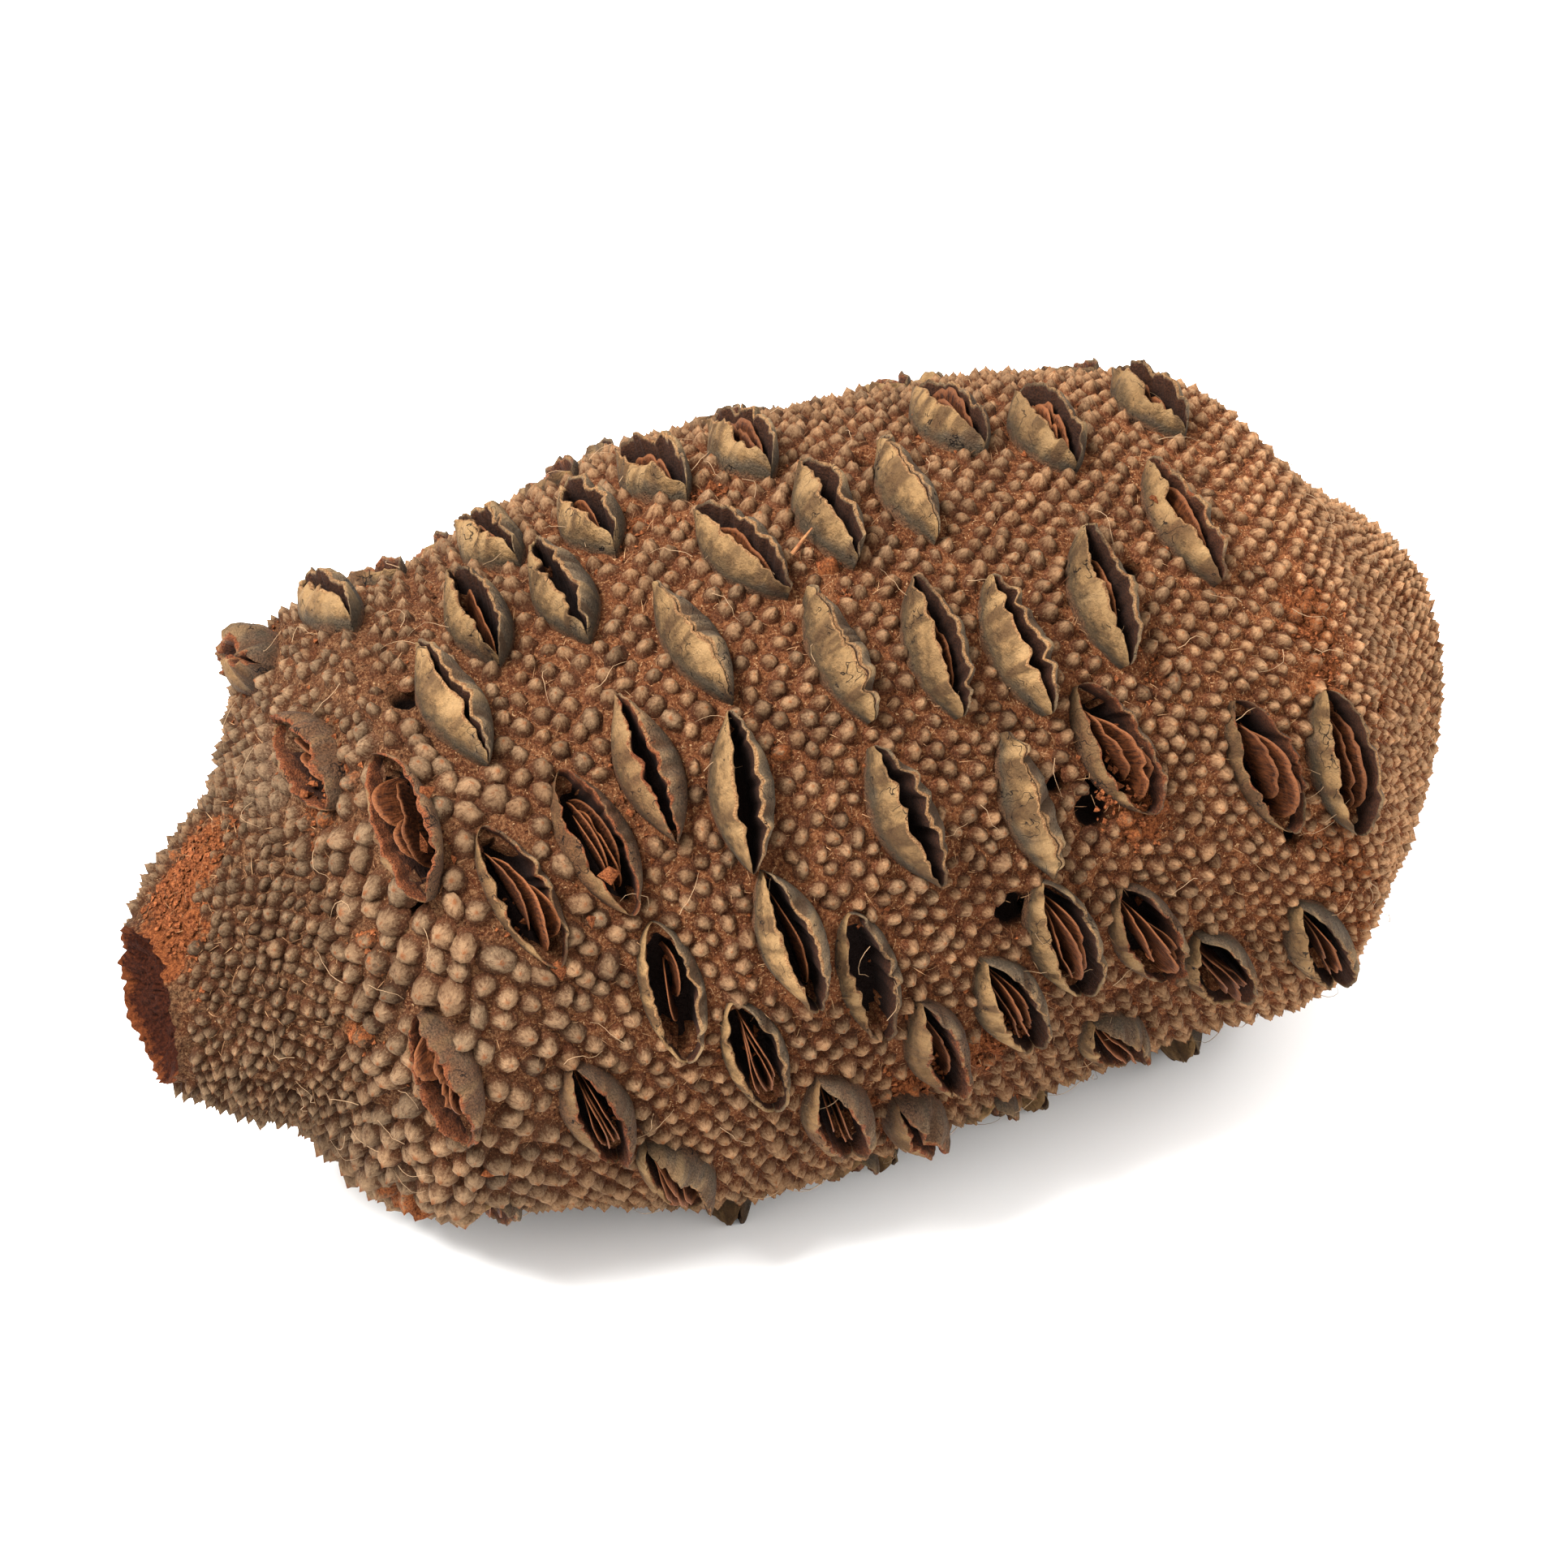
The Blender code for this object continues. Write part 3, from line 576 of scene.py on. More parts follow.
SMALL_RADIUS, SMALL_HEIGHT, SMALL_ROOM = 0.84, 1.6, 1.75
# The small ones: first and last axial distance, and the bearings where they start and are full.
SMALL_FROM = (17.0, 52.0)
SMALL_START, SMALL_FULL = 34.0, 12.0
SMALL_TRIES, SMALL_TRIED_BEARINGS = 2600, (-150, 40)
SMALL_FADE_AROUND, SMALL_FADE_ALONG = 60, (3, 8)
NEAR_SIDE = (-60, 160)
NEAR_SIDES, FAR_SIDES = 9, 7
# Each ring up a knob: share of its height, and its radius on a blunt knob and on a pointed one.
NEAR_RINGS = ((-0.15, 1.50, 1.46), (0.14, 1.18, 1.12), (0.44, 0.96, 0.78), (0.70, 0.66, 0.40),
              (0.85, 0.25, 0.13))
FAR_RINGS = ((-0.15, 1.45, 1.4), (0.26, 1.08, 0.98), (0.70, 0.66, 0.40), (0.85, 0.25, 0.13))
RIM_CLEAR = 2.4
KNOB_STRAY = 0.34
KNOB_CLEARANCE = 0.35
# Side of the boxes in which a knob's neighbours are looked for, in mm.
NEIGHBOUR_BOX = 2
# How strong a hole is where it takes a knob's place, and how surely worn ground has lost its
# knobs on the neck and beyond it.
HOLE_KEEPS_OFF = 0.3
LOST_ON_NECK, LOST_ELSEWHERE, NECK_END = 0.95, 0.4, 16
BIG_ONE_IN, BIG_ONES, OTHER_ONES = 4, 1.13, 0.96
NECK_FADE = (17, 4)
# How far knobs differ: in size, in size on the neck, in height, in how pointed they are, in
# their lean along and across the cone for a radius of one, and in tone and greyness.
SIZES, NECK_SIZES, HEIGHTS, POINTS = (0.84, 1.1), (-0.35, 0.12), (0.78, 1.18), (-0.4, 0.4)
LEAN_ALONG, LEAN_ACROSS = (-0.25, 0.45), (-0.35, 0.35)
TONE_STRAY, GREY_STRAY = 0.14, 0.2
# How uneven a knob's rings are, how much longer than wide, and how far they stray in height.
RAGGED, OVALNESS, RING_STRAY = (0.82, 1.18), (0, 0.22), (-0.05, 0.05)

area_steps = 2 * math.pi * radius_at(fine_along) * FINE_STEP / KNOB_GROUND(fine_axial)
knobs_up_to = np.cumsum(area_steps)
count = int(knobs_up_to[-1]) - 2
order = np.arange(count)
knob_along = np.interp(order + 0.5, knobs_up_to, fine_along)
knob_bearing = order * GOLDEN_ANGLE % 360
spacing = np.sqrt(KNOB_GROUND(axial_at(knob_along)))
knob_along = knob_along + draw.uniform(-KNOB_STRAY, KNOB_STRAY, count) * spacing / 2
sideways = draw.uniform(-KNOB_STRAY, KNOB_STRAY, count) * spacing / 2
knob_bearing = knob_bearing + turned_by(sideways, knob_along)


def smallness(along, bearing):
    """How far a place lies on the upper side of the shoulder, where the knobs are small."""
    turn = half_turn(bearing)
    upper = np.clip((SMALL_START - turn) / (SMALL_START - SMALL_FULL), 0, 1)
    upper = upper * np.clip((turn - SMALL_TRIED_BEARINGS[0]) / SMALL_FADE_AROUND, 0, 1)
    axial = axial_at(along)
    after = np.clip((axial - SMALL_FROM[0]) / SMALL_FADE_ALONG[0], 0, 1)
    return upper * after * np.clip((SMALL_FROM[1] - axial) / SMALL_FADE_ALONG[1], 0, 1)


taken = {}


def claim(point, room):
    """Take a place for a knob, unless another stands within its room."""
    cell = tuple(int(part // NEIGHBOUR_BOX) for part in point)
    for step in np.ndindex(3, 3, 3):
        beside = tuple(part + shift - 1 for part, shift in zip(cell, step))
        if any(math.dist(point, other) < room for other in taken.get(beside, ())):
            return False
    taken.setdefault(cell, []).append(point)
    return True


for point in place(knob_along, knob_bearing, 0.0).tolist():
    claim(point, 0.0)
low_along, high_along = along_at(SMALL_FROM[0]), along_at(SMALL_FROM[1])
tries = np.stack((draw.uniform(low_along, high_along, SMALL_TRIES),
                  draw.uniform(*SMALL_TRIED_BEARINGS, SMALL_TRIES)))
wanted = draw.uniform(0, 1, SMALL_TRIES) < smallness(*tries)
added = [(along, bearing) for along, bearing in tries[:, wanted].T.tolist()
         if claim(place(along, bearing, 0.0).tolist(), SMALL_ROOM)]
knob_along = np.append(knob_along, [along for along, bearing in added])
knob_bearing = np.append(knob_bearing, [bearing for along, bearing in added])

knob_worn = strength_at(WORN_PLACES, knob_along, knob_bearing)
lost = np.where(axial_at(knob_along) < NECK_END, LOST_ON_NECK, LOST_ELSEWHERE)
kept = draw.uniform(0, 1, len(knob_along)) > knob_worn * lost
kept &= knob_along > RIM_CLEAR
kept &= strength_at(HOLE_PLACES, knob_along, knob_bearing) < HOLE_KEEPS_OFF
for follicle in follicles:
    kept &= ~follicle.covers(knob_along, knob_bearing, KNOB_CLEARANCE)
knob_along, knob_bearing, knob_worn = knob_along[kept], knob_bearing[kept], knob_worn[kept]
count = len(knob_along)

knob_axial = axial_at(knob_along)
small = smallness(knob_along, knob_bearing)
knob_size = np.where(draw.uniform(0, 1, count) < 1 / BIG_ONE_IN, BIG_ONES, OTHER_ONES)
knob_size = knob_size * draw.uniform(*SIZES, count)
on_neck = np.clip((NECK_FADE[0] - knob_axial) / NECK_FADE[1], 0, 1)
knob_size = knob_size * (1 + on_neck * draw.uniform(*NECK_SIZES, count))
knob_radius = (KNOB_RADIUS(knob_axial) * (1 - small) + SMALL_RADIUS * small) * knob_size
knob_height = (KNOB_HEIGHT(knob_axial) * (1 - small) + SMALL_HEIGHT * small) * knob_size
knob_height = knob_height * draw.uniform(*HEIGHTS, count)
pointed = np.clip(KNOB_POINTED(knob_axial) + 0.5 * small + draw.uniform(*POINTS, count), -0.2, 1.1)
tilt_forward = draw.uniform(*LEAN_ALONG, count) * knob_radius
tilt_sideways = draw.uniform(*LEAN_ACROSS, count) * knob_radius
knob_tone = np.clip(draw.normal(1.0, TONE_STRAY, count), 0.65, 1.35) * KNOB_LIGHT(knob_axial)
knob_grey = np.clip(KNOB_GREY(knob_axial) + draw.normal(0, GREY_STRAY, count), 0, 1)
knob_dusty = strength_at(DUSTY_PLACES, knob_along, knob_bearing)

bract = Finish("bract_wood", 0.06)
rise, shade, grey, dusty, worn = (bract.mark(name) for name in ("crown", "shade", "grey", "dusty", "worn"))
streaks = bract.noise(bract.mark("streak", "Vector"), 2.6, 3.0, 0.65)
grain, blotch = bract.cloud(0.3, 4.0, 0.75), bract.cloud(1.2)
side_colour = bract.mix(grey, (104, 70, 48), (88, 68, 52))
top_colour = bract.mix(grey, (178, 146, 116), (162, 142, 120))
level = rise + (streaks - 0.5) * 0.7 + (blotch - 0.5) * 0.6
foot_colour = bract.mix(grain.between(0.4, 0.6), (78, 44, 28), (140, 90, 62))
foot_colour = bract.mix(grey * 0.6, foot_colour, (84, 64, 48))
eye_colour = bract.mix(grey, (150, 100, 66), (146, 92, 60))
scar = (rise + (grain - 0.5) * 0.3).between(0.80, 0.93) * blotch.between(0.42, 0.5) * 0.85
orange = bract.mix(grain.between(0.38, 0.62), (98, 52, 30), (178, 114, 72))
bract_colour = bract.coats(
    side_colour,
    (level.between(0.32, 0.88), top_colour),
    ((level + (grain - 0.5) * 0.8).between(0.42, 0.16), foot_colour),
    (streaks.between(0.46, 0.34) * 0.45, (88, 58, 42)),
    (grain.between(0.56, 0.72) * 0.55, (214, 182, 148)),
    (grain.between(0.44, 0.32) * 0.6, (70, 44, 30)),
    (scar, eye_colour))
bract_colour = bract.coats(
    bract.tone(bract_colour, shade),
    ((worn + (blotch - 0.5) * 1.4).between(0.55, 0.8), orange),
    ((dusty * grain * 2.0).between(0.3, 1.1), (190, 170, 148)))
bract_material = bract.apply(bract_colour, 0.92, grain + streaks * 0.4, 0.26)


def copied(faces, count, points_each):
    """The faces of many like bodies that follow one another, from those of the first."""
    return [[corner + i * points_each for corner in face] for i in range(count) for face in faces]


def grow_knobs(name, chosen, sides, rings):
    """One piece of the chosen knobs, each with so many sides and rings."""
    count = len(chosen)
    level, blunt, sharp = np.array(rings).T
    share = blunt + (sharp - blunt) * pointed[chosen, None]
    turns = np.arange(sides) * 2 * math.pi / sides + draw.uniform(0, 1, (count, 1))
    ragged = draw.uniform(*RAGGED, (count, len(rings), sides))
    long_way = np.cos(2 * turns + draw.uniform(0, 2 * math.pi, (count, 1)))[:, None]
    ragged = ragged * (1 + draw.uniform(*OVALNESS, (count, 1, 1)) * long_way)
    ring_radius = (knob_radius[chosen, None] * share)[:, :, None] * ragged
    up = level[None, :, None] + draw.uniform(*RING_STRAY, ragged.shape)
    leant = np.clip(level, 0, 1)[None, :, None] ** 2
    tilt = tilt_forward[chosen, None, None], tilt_sideways[chosen, None, None]
    forward = ring_radius * np.cos(turns)[:, None] + tilt[0] * leant
    aside = ring_radius * np.sin(turns)[:, None] + tilt[1] * leant
    height = GROUND_LEVEL + knob_height[chosen, None, None] * up
    forward = np.hstack((forward.reshape(count, -1), tilt[0][:, 0]))
    aside = np.hstack((aside.reshape(count, -1), tilt[1][:, 0]))
    height = np.hstack((height.reshape(count, -1), (GROUND_LEVEL + knob_height[chosen])[:, None]))
    along = knob_along[chosen, None]
    points = place(along + forward, knob_bearing[chosen, None] + turned_by(aside, along), height)
    crown = np.append(np.repeat(np.clip(level, 0, 1), sides), 1.0) + 0 * forward
    numbers = draw.uniform(0, 90, (count, 1))
    reach = np.append(np.repeat(0.4 + 0.6 * blunt, sides), 0.0)
    round_it = [np.append(np.tile(wave(turns), len(rings)), np.zeros((count, 1)), 1) * reach
                for wave in (np.cos, np.sin)]
    streak = np.stack((*round_it, numbers + crown * 0.5), axis=-1)
    ring_faces = sheet_faces(len(rings), sides, closed=True).tolist()
    top = (len(rings) - 1) * sides
    cap = [(top + i, top + (i + 1) % sides, top + sides) for i in range(sides)]
    points_each = top + sides + 1
    faces = copied(ring_faces + cap, count, points_each)
    marks = {"crown": crown, "streak": streak}
    for mark, values in (("shade", knob_tone), ("grey", knob_grey), ("dusty", knob_dusty),
                         ("worn", knob_worn)):
        marks[mark] = np.repeat(values[chosen], points_each)
    add_piece(name, points, faces, marks, bract_material)


knob_turn = half_turn(knob_bearing)
on_near_side = (knob_turn > NEAR_SIDE[0]) & (knob_turn < NEAR_SIDE[1])
zones = {"neck": (0, 18), "shoulder": (18, 50), "barrel": (50, 98), "far_barrel": (98, 146),
         "tip": (146, LENGTH)}
for name, (start, end) in zones.items():
    in_zone = (knob_axial >= start) & (knob_axial < end)
    grow_knobs(f"knobs_of_{name}", np.flatnonzero(in_zone & on_near_side), NEAR_SIDES, NEAR_RINGS)
    grow_knobs(f"knobs_of_{name}_behind", np.flatnonzero(in_zone & ~on_near_side), FAR_SIDES, FAR_RINGS)

# The follicles are woody seed cases with two valves that met in a crinkled seam. Each grew out
# of the ground as one body with it, and opened along its seam as far as its state says.
LIP_HEIGHTS = {SHUT: 4.2, SLIT: 4.8, AJAR: 5.0, GAPE: 4.7, WORN: 2.6}
FLOOR_LEVELS = {SHUT: 2.8, SLIT: -2.8, AJAR: -3.4, GAPE: -4.6, WORN: -5.0}
LIP_THICKNESS = {SHUT: 0.30, SLIT: 0.34, AJAR: 0.32, GAPE: 0.24, WORN: 0.36}
LIP_WAVE = {SHUT: 0.70, SLIT: 0.62, AJAR: 0.36, GAPE: 0.16, WORN: 0.25}
OVAL = {SHUT: 1.0, SLIT: 0.75, AJAR: 0.7, GAPE: 0.6, WORN: 0.5}
FOOT_OVAL = {SHUT: 1.0, SLIT: 0.95, AJAR: 0.9, GAPE: 0.72, WORN: 0.65}
WIDEST_GAP_OF_FOOT = 0.72
SHUT_HALF_GAP = 0.03
NEAR_STATIONS, FAR_STATIONS = 59, 33
FOOT_LEVEL = -1.6
LIP_AT_ENDS = 0.30
FOLD_SIZE, SMALL_FOLD_SIZE = 1.45, 0.55
OWN_FOLD = 0.3
LIP_PALENESS = {SHUT: 0.8, SLIT: 0.85, AJAR: 0.8, GAPE: 0.72, WORN: 0.7}
LEFT_LOST, RIGHT_LOST, HALF_LOST = 0.74, 0.30, 0.5
CRUST_SIZE, CRUST_HEIGHT = 0.85, 0.34
CREST_RIPPLE = 0.25
FOLD_HEIGHT, SMALL_FOLD_HEIGHT = 1.5, 0.5
# Folds come and go along the seam: size of a stretch of them, their least height and its swing.
FOLD_STRETCH, FOLD_LEAST, FOLD_SWING = 3.1, 0.75, 0.6
# Tears in a lip: size of the big and the small ones, how high the small ones are, how deep a
# tear cuts into the height of the valve, and how far it widens the gap in mm.
TEAR_SIZE, SMALL_TEAR_SIZE, SMALL_TEAR = 2.6, 0.7, 0.35
TEAR_DEPTH, TEAR_WIDENS = 0.6, 0.5
# How square the ends of a valve are, seen from its side.
ARCH_SQUARE = 3.4
CRINKLE = {SHUT: 0.42, SLIT: 0.22, AJAR: 0.2, GAPE: 0.2, WORN: 0.2}
# Up the outside of a valve, from its foot to its lip: share of the way in and of the way up.
VALVE_OUTSIDE = ((0.0, 0.0), (0.05, 0.26), (0.14, 0.44), (0.30, 0.62), (0.50, 0.78), (0.72, 0.90),
                 (0.90, 0.97), (1.0, 1.0))
GRANULE_SIZE, GRANULE_HEIGHT = 0.6, 0.10
DENT_SIZE, DENT_HEIGHT = 2.6, 0.30


def add_sheets(name, sheets, material):
    """One piece of several sheets, each given by its points, its faces and its marks."""
    all_points, faces, start = [], [], 0
    for points, own_faces, _ in sheets:
        faces += [[corner + start for corner in face] for face in own_faces]
        all_points.append(points.reshape(-1, 3))
        start += len(all_points[-1])
    marks = {mark: np.concatenate([own_marks[mark].ravel() for *_, own_marks in sheets])
             for mark in sheets[0][2]}
    return add_piece(name, np.vstack(all_points), faces, marks, material)


def wave_along(lengthwise, size, number):
    """A wave between -1 and 1 along a seam, of its own for each number."""
    return uneven(np.concatenate((lengthwise, 0 * lengthwise + number, 0 * lengthwise), -1), size)[:, None]


def follicle_sheet(follicle, stations, draw):
    """The follicle as a sheet of points from one foot over both valves to the other foot. What
    is added to its own number gives each wave a course of its own."""
    state = follicle.state
    t = np.sin(np.linspace(-1, 1, stations) * math.pi / 2)[:, None]
    girth = np.sqrt(np.clip(1 - t * t, 0, 1))
    lengthwise = FOLLICLE_HALF_LENGTH * t
    foot = HALF_WIDTHS[state] * (1 - t * t) ** FOOT_OVAL[state]
    own = follicle.number * 13.1

    def wave(size, shift):
        return wave_along(lengthwise, size, own + shift)

    folds = wave(FOLD_SIZE, 0) * FOLD_HEIGHT
    folds = folds + SMALL_FOLD_HEIGHT * wave(SMALL_FOLD_SIZE, 4.3)
    folds = folds * (FOLD_LEAST + FOLD_SWING * wave(FOLD_STRETCH, 2.2))
    seam = LIP_WAVE[state] * np.clip(folds, -1.3, 1.3) * girth ** 0.6
    sides = []
    for side in (-1, 1):
        way_in, way_up = np.array(VALVE_OUTSIDE).T
        tear = wave(TEAR_SIZE, side * 7.7)
        tear = tear + SMALL_TEAR * wave(SMALL_TEAR_SIZE, side * 3.1)
        tear = follicle.torn * np.clip(tear * 1.3 - 0.1 + 0.25 * follicle.torn, 0, 1) * girth
        own_fold = OWN_FOLD * wave(SMALL_FOLD_SIZE * 1.4, side * 5.9)
        arch = np.sqrt(np.clip(1 - abs(t) ** ARCH_SQUARE, 0, 1))
        top = LIP_HEIGHTS[state] * draw.uniform(0.9, 1.06) * (LIP_AT_ENDS + (1 - LIP_AT_ENDS) * arch)
        lost = LEFT_LOST if side < 0 else RIGHT_LOST
        top = top * (1 - lost * follicle.torn * (1.0 if state in (GAPE, WORN) else HALF_LOST))
        top = top * (1 - TEAR_DEPTH * tear) + CREST_RIPPLE * folds * side * girth
        top = top + 0.15 * wave(0.6, side * 9.1)
        gap = np.maximum(follicle.gap / 2, SHUT_HALF_GAP) * (1 - t * t) ** OVAL[state]
        gap = gap + TEAR_WIDENS * tear
        gap = gap + own_fold * girth * min(follicle.gap, 1.0)
        gap = np.clip(gap, SHUT_HALF_GAP, WIDEST_GAP_OF_FOOT * foot + SHUT_HALF_GAP)
        thick = LIP_THICKNESS[state] * girth ** 0.5 * (1 + 0.5 * wave(0.9, -5))
        edge = np.minimum(gap + thick, foot + thick)
        outside = foot + (edge - foot) * way_in
        outside_height = FOOT_LEVEL + (top - FOOT_LEVEL) * way_up
        outside_height = outside_height + 1.0 * folds * girth * (way_in * (1 - way_in)) * 2
        crinkle = uneven(np.stack(np.broadcast_arrays(lengthwise, outside * 0.7, own), -1), 0.75)
        outside_height = outside_height + CRINKLE[state] * crinkle * girth * way_in ** 3
        follow = way_in ** 1.2 + 0 * t
        floor = gap * 0.75 if state in (GAPE, WORN) else gap * 0.5
        # Down the inside: over the edge of the lip, down the wall, and in to the floor.
        inside = np.hstack((gap + thick * 0.5, gap, gap * 1.02, gap * 1.04, gap * 0.9, floor))
        deep = FLOOR_LEVELS[state] * (0.45 + 0.55 * girth)
        inside_height = np.hstack((top + 0.06, top - 0.16, top - 0.6, top * 0.5 + deep * 0.5,
                                   top * 0.15 + deep * 0.85, deep))
        inside_follow = np.array((1.0, 1.0, 0.9, 0.5, 0.2, 0.0)) + 0 * t
        across = side * np.hstack((outside, inside)) + seam * np.hstack((follow, inside_follow))
        sides.append((across, np.hstack((outside_height, inside_height))))
    across = np.hstack((sides[0][0], sides[1][0][:, ::-1]))
    height = np.hstack((sides[0][1], sides[1][1][:, ::-1]))
    points = place(*follicle.spot(lengthwise + 0 * across, across), height)
    rough = GRANULE_HEIGHT * uneven(points, GRANULE_SIZE) + DENT_HEIGHT * girth * uneven(points, DENT_SIZE)
    rough = rough + CRUST_HEIGHT * follicle.crust ** 2 * uneven(points, CRUST_SIZE, 3)
    return place(*follicle.spot(lengthwise + 0 * across, across), height + rough), t, across, folds


outside_count, inside_count = len(VALVE_OUTSIDE), 6
lip_row = np.concatenate((np.zeros(outside_count - 2), [0.25, 1.0], [1.0, 0.8, 0.0, 0, 0, 0]))
inner_row = np.concatenate((np.zeros(outside_count), [0.0, 0.3, 1.0, 1.0, 1.0, 1.0]))
# How far down the inside a row lies, for the painted shade that darkens the slit towards its floor.
deep_shade_row = np.concatenate((np.zeros(outside_count), [0.0, 0.0, 0.3, 0.85, 1.0, 1.0]))
up_row = np.concatenate((np.array(VALVE_OUTSIDE)[:, 1], np.ones(inside_count)))
both_lips, both_inner, both_deep_shade, both_up = (
    np.concatenate((row, row[::-1])) for row in (lip_row, inner_row, deep_shade_row, up_row))
valve_side = np.repeat((0.0, 1.0), outside_count + inside_count)

valve = Finish("valve_wood", 0.12)
lip, inner, deep, slate_and_shade = (valve.mark(name) for name in ("lip", "inner", "deep", "slate_and_shade"))
crust, shade, foot_up, fold = (valve.mark(name) for name in ("crust", "shade", "up", "fold"))
grain, blotch, wide = valve.cloud(0.26, 4.0, 0.75), valve.cloud(1.5, 4.0), valve.cloud(5.0)
granules, crack_noise = valve.cloud(0.34, 2.0, 0.5), valve.cloud(2.6, 2.0, 0.5)
spots = valve.cloud(0.8, 3.0, 0.6)
olive_colour = valve.coats(
    valve.mix(blotch.between(0.36, 0.66), (124, 98, 66), (182, 150, 108)),
    (spots.between(0.46, 0.34) * 0.55, (78, 64, 46)),
    (granules.between(0.60, 0.70) * 0.5, (196, 168, 128)))
# Slate: a darker grey for the valve on the tip side, turned from the lamp, and for the low part of each
# valve. It is partly the valves' own grey and partly painted shade.
slate_and_shade_colour = valve.mix(grain.between(0.36, 0.62), (66, 62, 56), (138, 126, 112))
slate_and_shade_colour = valve.mix(granules.between(0.62, 0.72) * 0.7, slate_and_shade_colour, (176, 156, 132))
slate_and_shade_share = (slate_and_shade + (wide - 0.5) * 0.9 + (blotch - 0.5) * 0.3
          + foot_up.between(0.70, 0.25) * 0.45).between(0.38, 0.60)
foot_level = foot_up + (blotch - 0.5) * 0.5
foot_colour = valve.mix(grain.between(0.4, 0.6), (96, 58, 38), (160, 120, 90))
# Painted highlight: pale paint high up each valve, fading on the valve turned from the lamp.
painted_highlight_near_lip = (foot_up + (blotch - 0.5) * 0.6).between(0.66, 1.04) * (1 - slate_and_shade_share * 0.7) * 0.7
browned = (crust * 0.9 + (wide - 0.5) * 1.2 + (blotch - 0.5) * 0.6).between(0.45, 0.95) * 0.75
brown_colour = valve.mix(grain.between(0.4, 0.6), (70, 46, 32), (132, 92, 64))
lip_colour = valve.mix(grain.between(0.38, 0.62), (140, 98, 64), (220, 182, 136))
lip_colour = valve.mix(blotch.between(0.58, 0.68) * 0.8, lip_colour, (122, 80, 54))
crust_colour = valve.mix(grain.between(0.36, 0.62), (92, 46, 28), (176, 110, 72))
crusted = (crust * (lip * 0.5 + inner * (1 - deep) * 0.5 + foot_up * 0.52)
           + (blotch - 0.5) * 1.3).between(0.58, 0.78)
# Inside a slit: its brown lining and crust, painted down to near black towards the floor as painted shade.
inner_colour = valve.coats(
    valve.mix(grain.between(0.4, 0.7), (66, 40, 26), (128, 84, 58)),
    (crust.between(0.45, 0.9) * 0.8, crust_colour),
    (deep, (38, 21, 14)))
crack = abs(crack_noise - 0.5).between(0.010, 0.0) * wide.between(0.5, 0.56) * (1 - inner)
valve_colour = valve.coats(
    olive_colour,
    (slate_and_shade_share, slate_and_shade_colour),
    (foot_level.between(0.80, 0.34) * 0.85, (84, 74, 58)),
    (foot_level.between(0.36, 0.16) * 0.85, foot_colour),
    (painted_highlight_near_lip, (206, 174, 128)),
    (grain.between(0.60, 0.74) * 0.35, (204, 172, 132)),
    ((fold * -1).between(0.05, 0.5) * 0.7, (88, 64, 44)),
    (fold.between(0.15, 0.6) * 0.45, (216, 186, 142)),
    (browned, brown_colour),
    (grain.between(0.40, 0.28) * 0.5, (72, 52, 36)),
    ((lip + (blotch - 0.5) * 0.9).between(0.42, 0.8), lip_colour),
    (crusted, crust_colour),
    ((inner - crusted * 0.5).between(0.35, 0.8), inner_colour),
    (crack, (34, 24, 18)))
relief = grain * 0.6 + blotch * 0.6 + spots * 0.8 + granules * 0.5 - crack * 0.9
valve_material = valve.apply(valve.tone(valve_colour, shade), 0.88, relief, 0.6)

follicle_draw = np.random.default_rng(8)
# Share of slate paint on the valve towards the lamp and on the one turned from it (partly painted shade),
# and how much more of it one end of a follicle gets.
LIT_OLIVE_SIDE, SHADED_SLATE_SIDE, SLATE_LOW_END = 0.14, 0.86, 0.35
across_count = 2 * (outside_count + inside_count)
for state in LIP_HEIGHTS:
    sheets = []
    for follicle in follicles:
        if follicle.state != state:
            continue
        stations_here = NEAR_STATIONS if follicle.number < near_count else FAR_STATIONS
        sheet, t, across, folds = follicle_sheet(follicle, stations_here, follicle_draw)
        own_slate = follicle_draw.uniform(-0.18, 0.12)
        low_end = np.clip(t, 0, 1) * SLATE_LOW_END + 0 * across
        marks = {"lip": both_lips * LIP_PALENESS[state] * np.sqrt(np.clip(1 - t * t, 0, 1)),
                 "inner": both_inner + 0 * t, "deep": both_deep_shade + 0 * t,
                 "slate_and_shade": LIT_OLIVE_SIDE + (SHADED_SLATE_SIDE - LIT_OLIVE_SIDE) * valve_side + low_end + own_slate,
                 "crust": follicle.crust + 0 * across,
                 "shade": follicle_draw.uniform(0.86, 1.12) + 0 * across,
                 "up": both_up + 0 * t, "fold": folds * both_up ** 1.5 * (1 - both_inner)}
        sheets.append((sheet, sheet_faces(stations_here, across_count).tolist(), marks))
    add_sheets(f"follicles_{state}", sheets, valve_material)

# The seed separators are thin woody plates, up to four in a follicle, that held its winged seeds
# apart. Each stands loose in an open slit, bows as the valves do, and is rounded off at its ends.
PLATE_HALF_LENGTH = 7.6
PLATE_STATIONS, PLATE_LEVELS = 21, 7
PLATE_THICKNESS = 0.34
# How round a plate's outline is, how long its root is for an edge of one, how far it grows up
# to the edge, how much thinner the edge is, and how far the plates stray aside, in height and in tone.
PLATE_ROUND, ROOT_SHARE, ROOT_GROWS, PLATE_THINNED = 2.4, 0.82, 0.18, 0.6
PLATE_STRAY, PLATE_HEIGHTS, PLATE_TONES = (-0.12, 0.12), (0.8, 1.05), (0.7, 1.15)
# Its ragged edge: size of the big and the small notches, how deep the big ones are as a share
# of the height, and the small ones as a share of the big.
NOTCH_SIZE, SMALL_NOTCH_SIZE, NOTCH_DEPTH, SMALL_NOTCH = 1.6, 0.5, 0.2, 0.4
# Its slow wave aside, in mm, and how fast that runs along it.
PLATE_WAVE, PLATE_WAVE_PACE = 0.25, 0.5
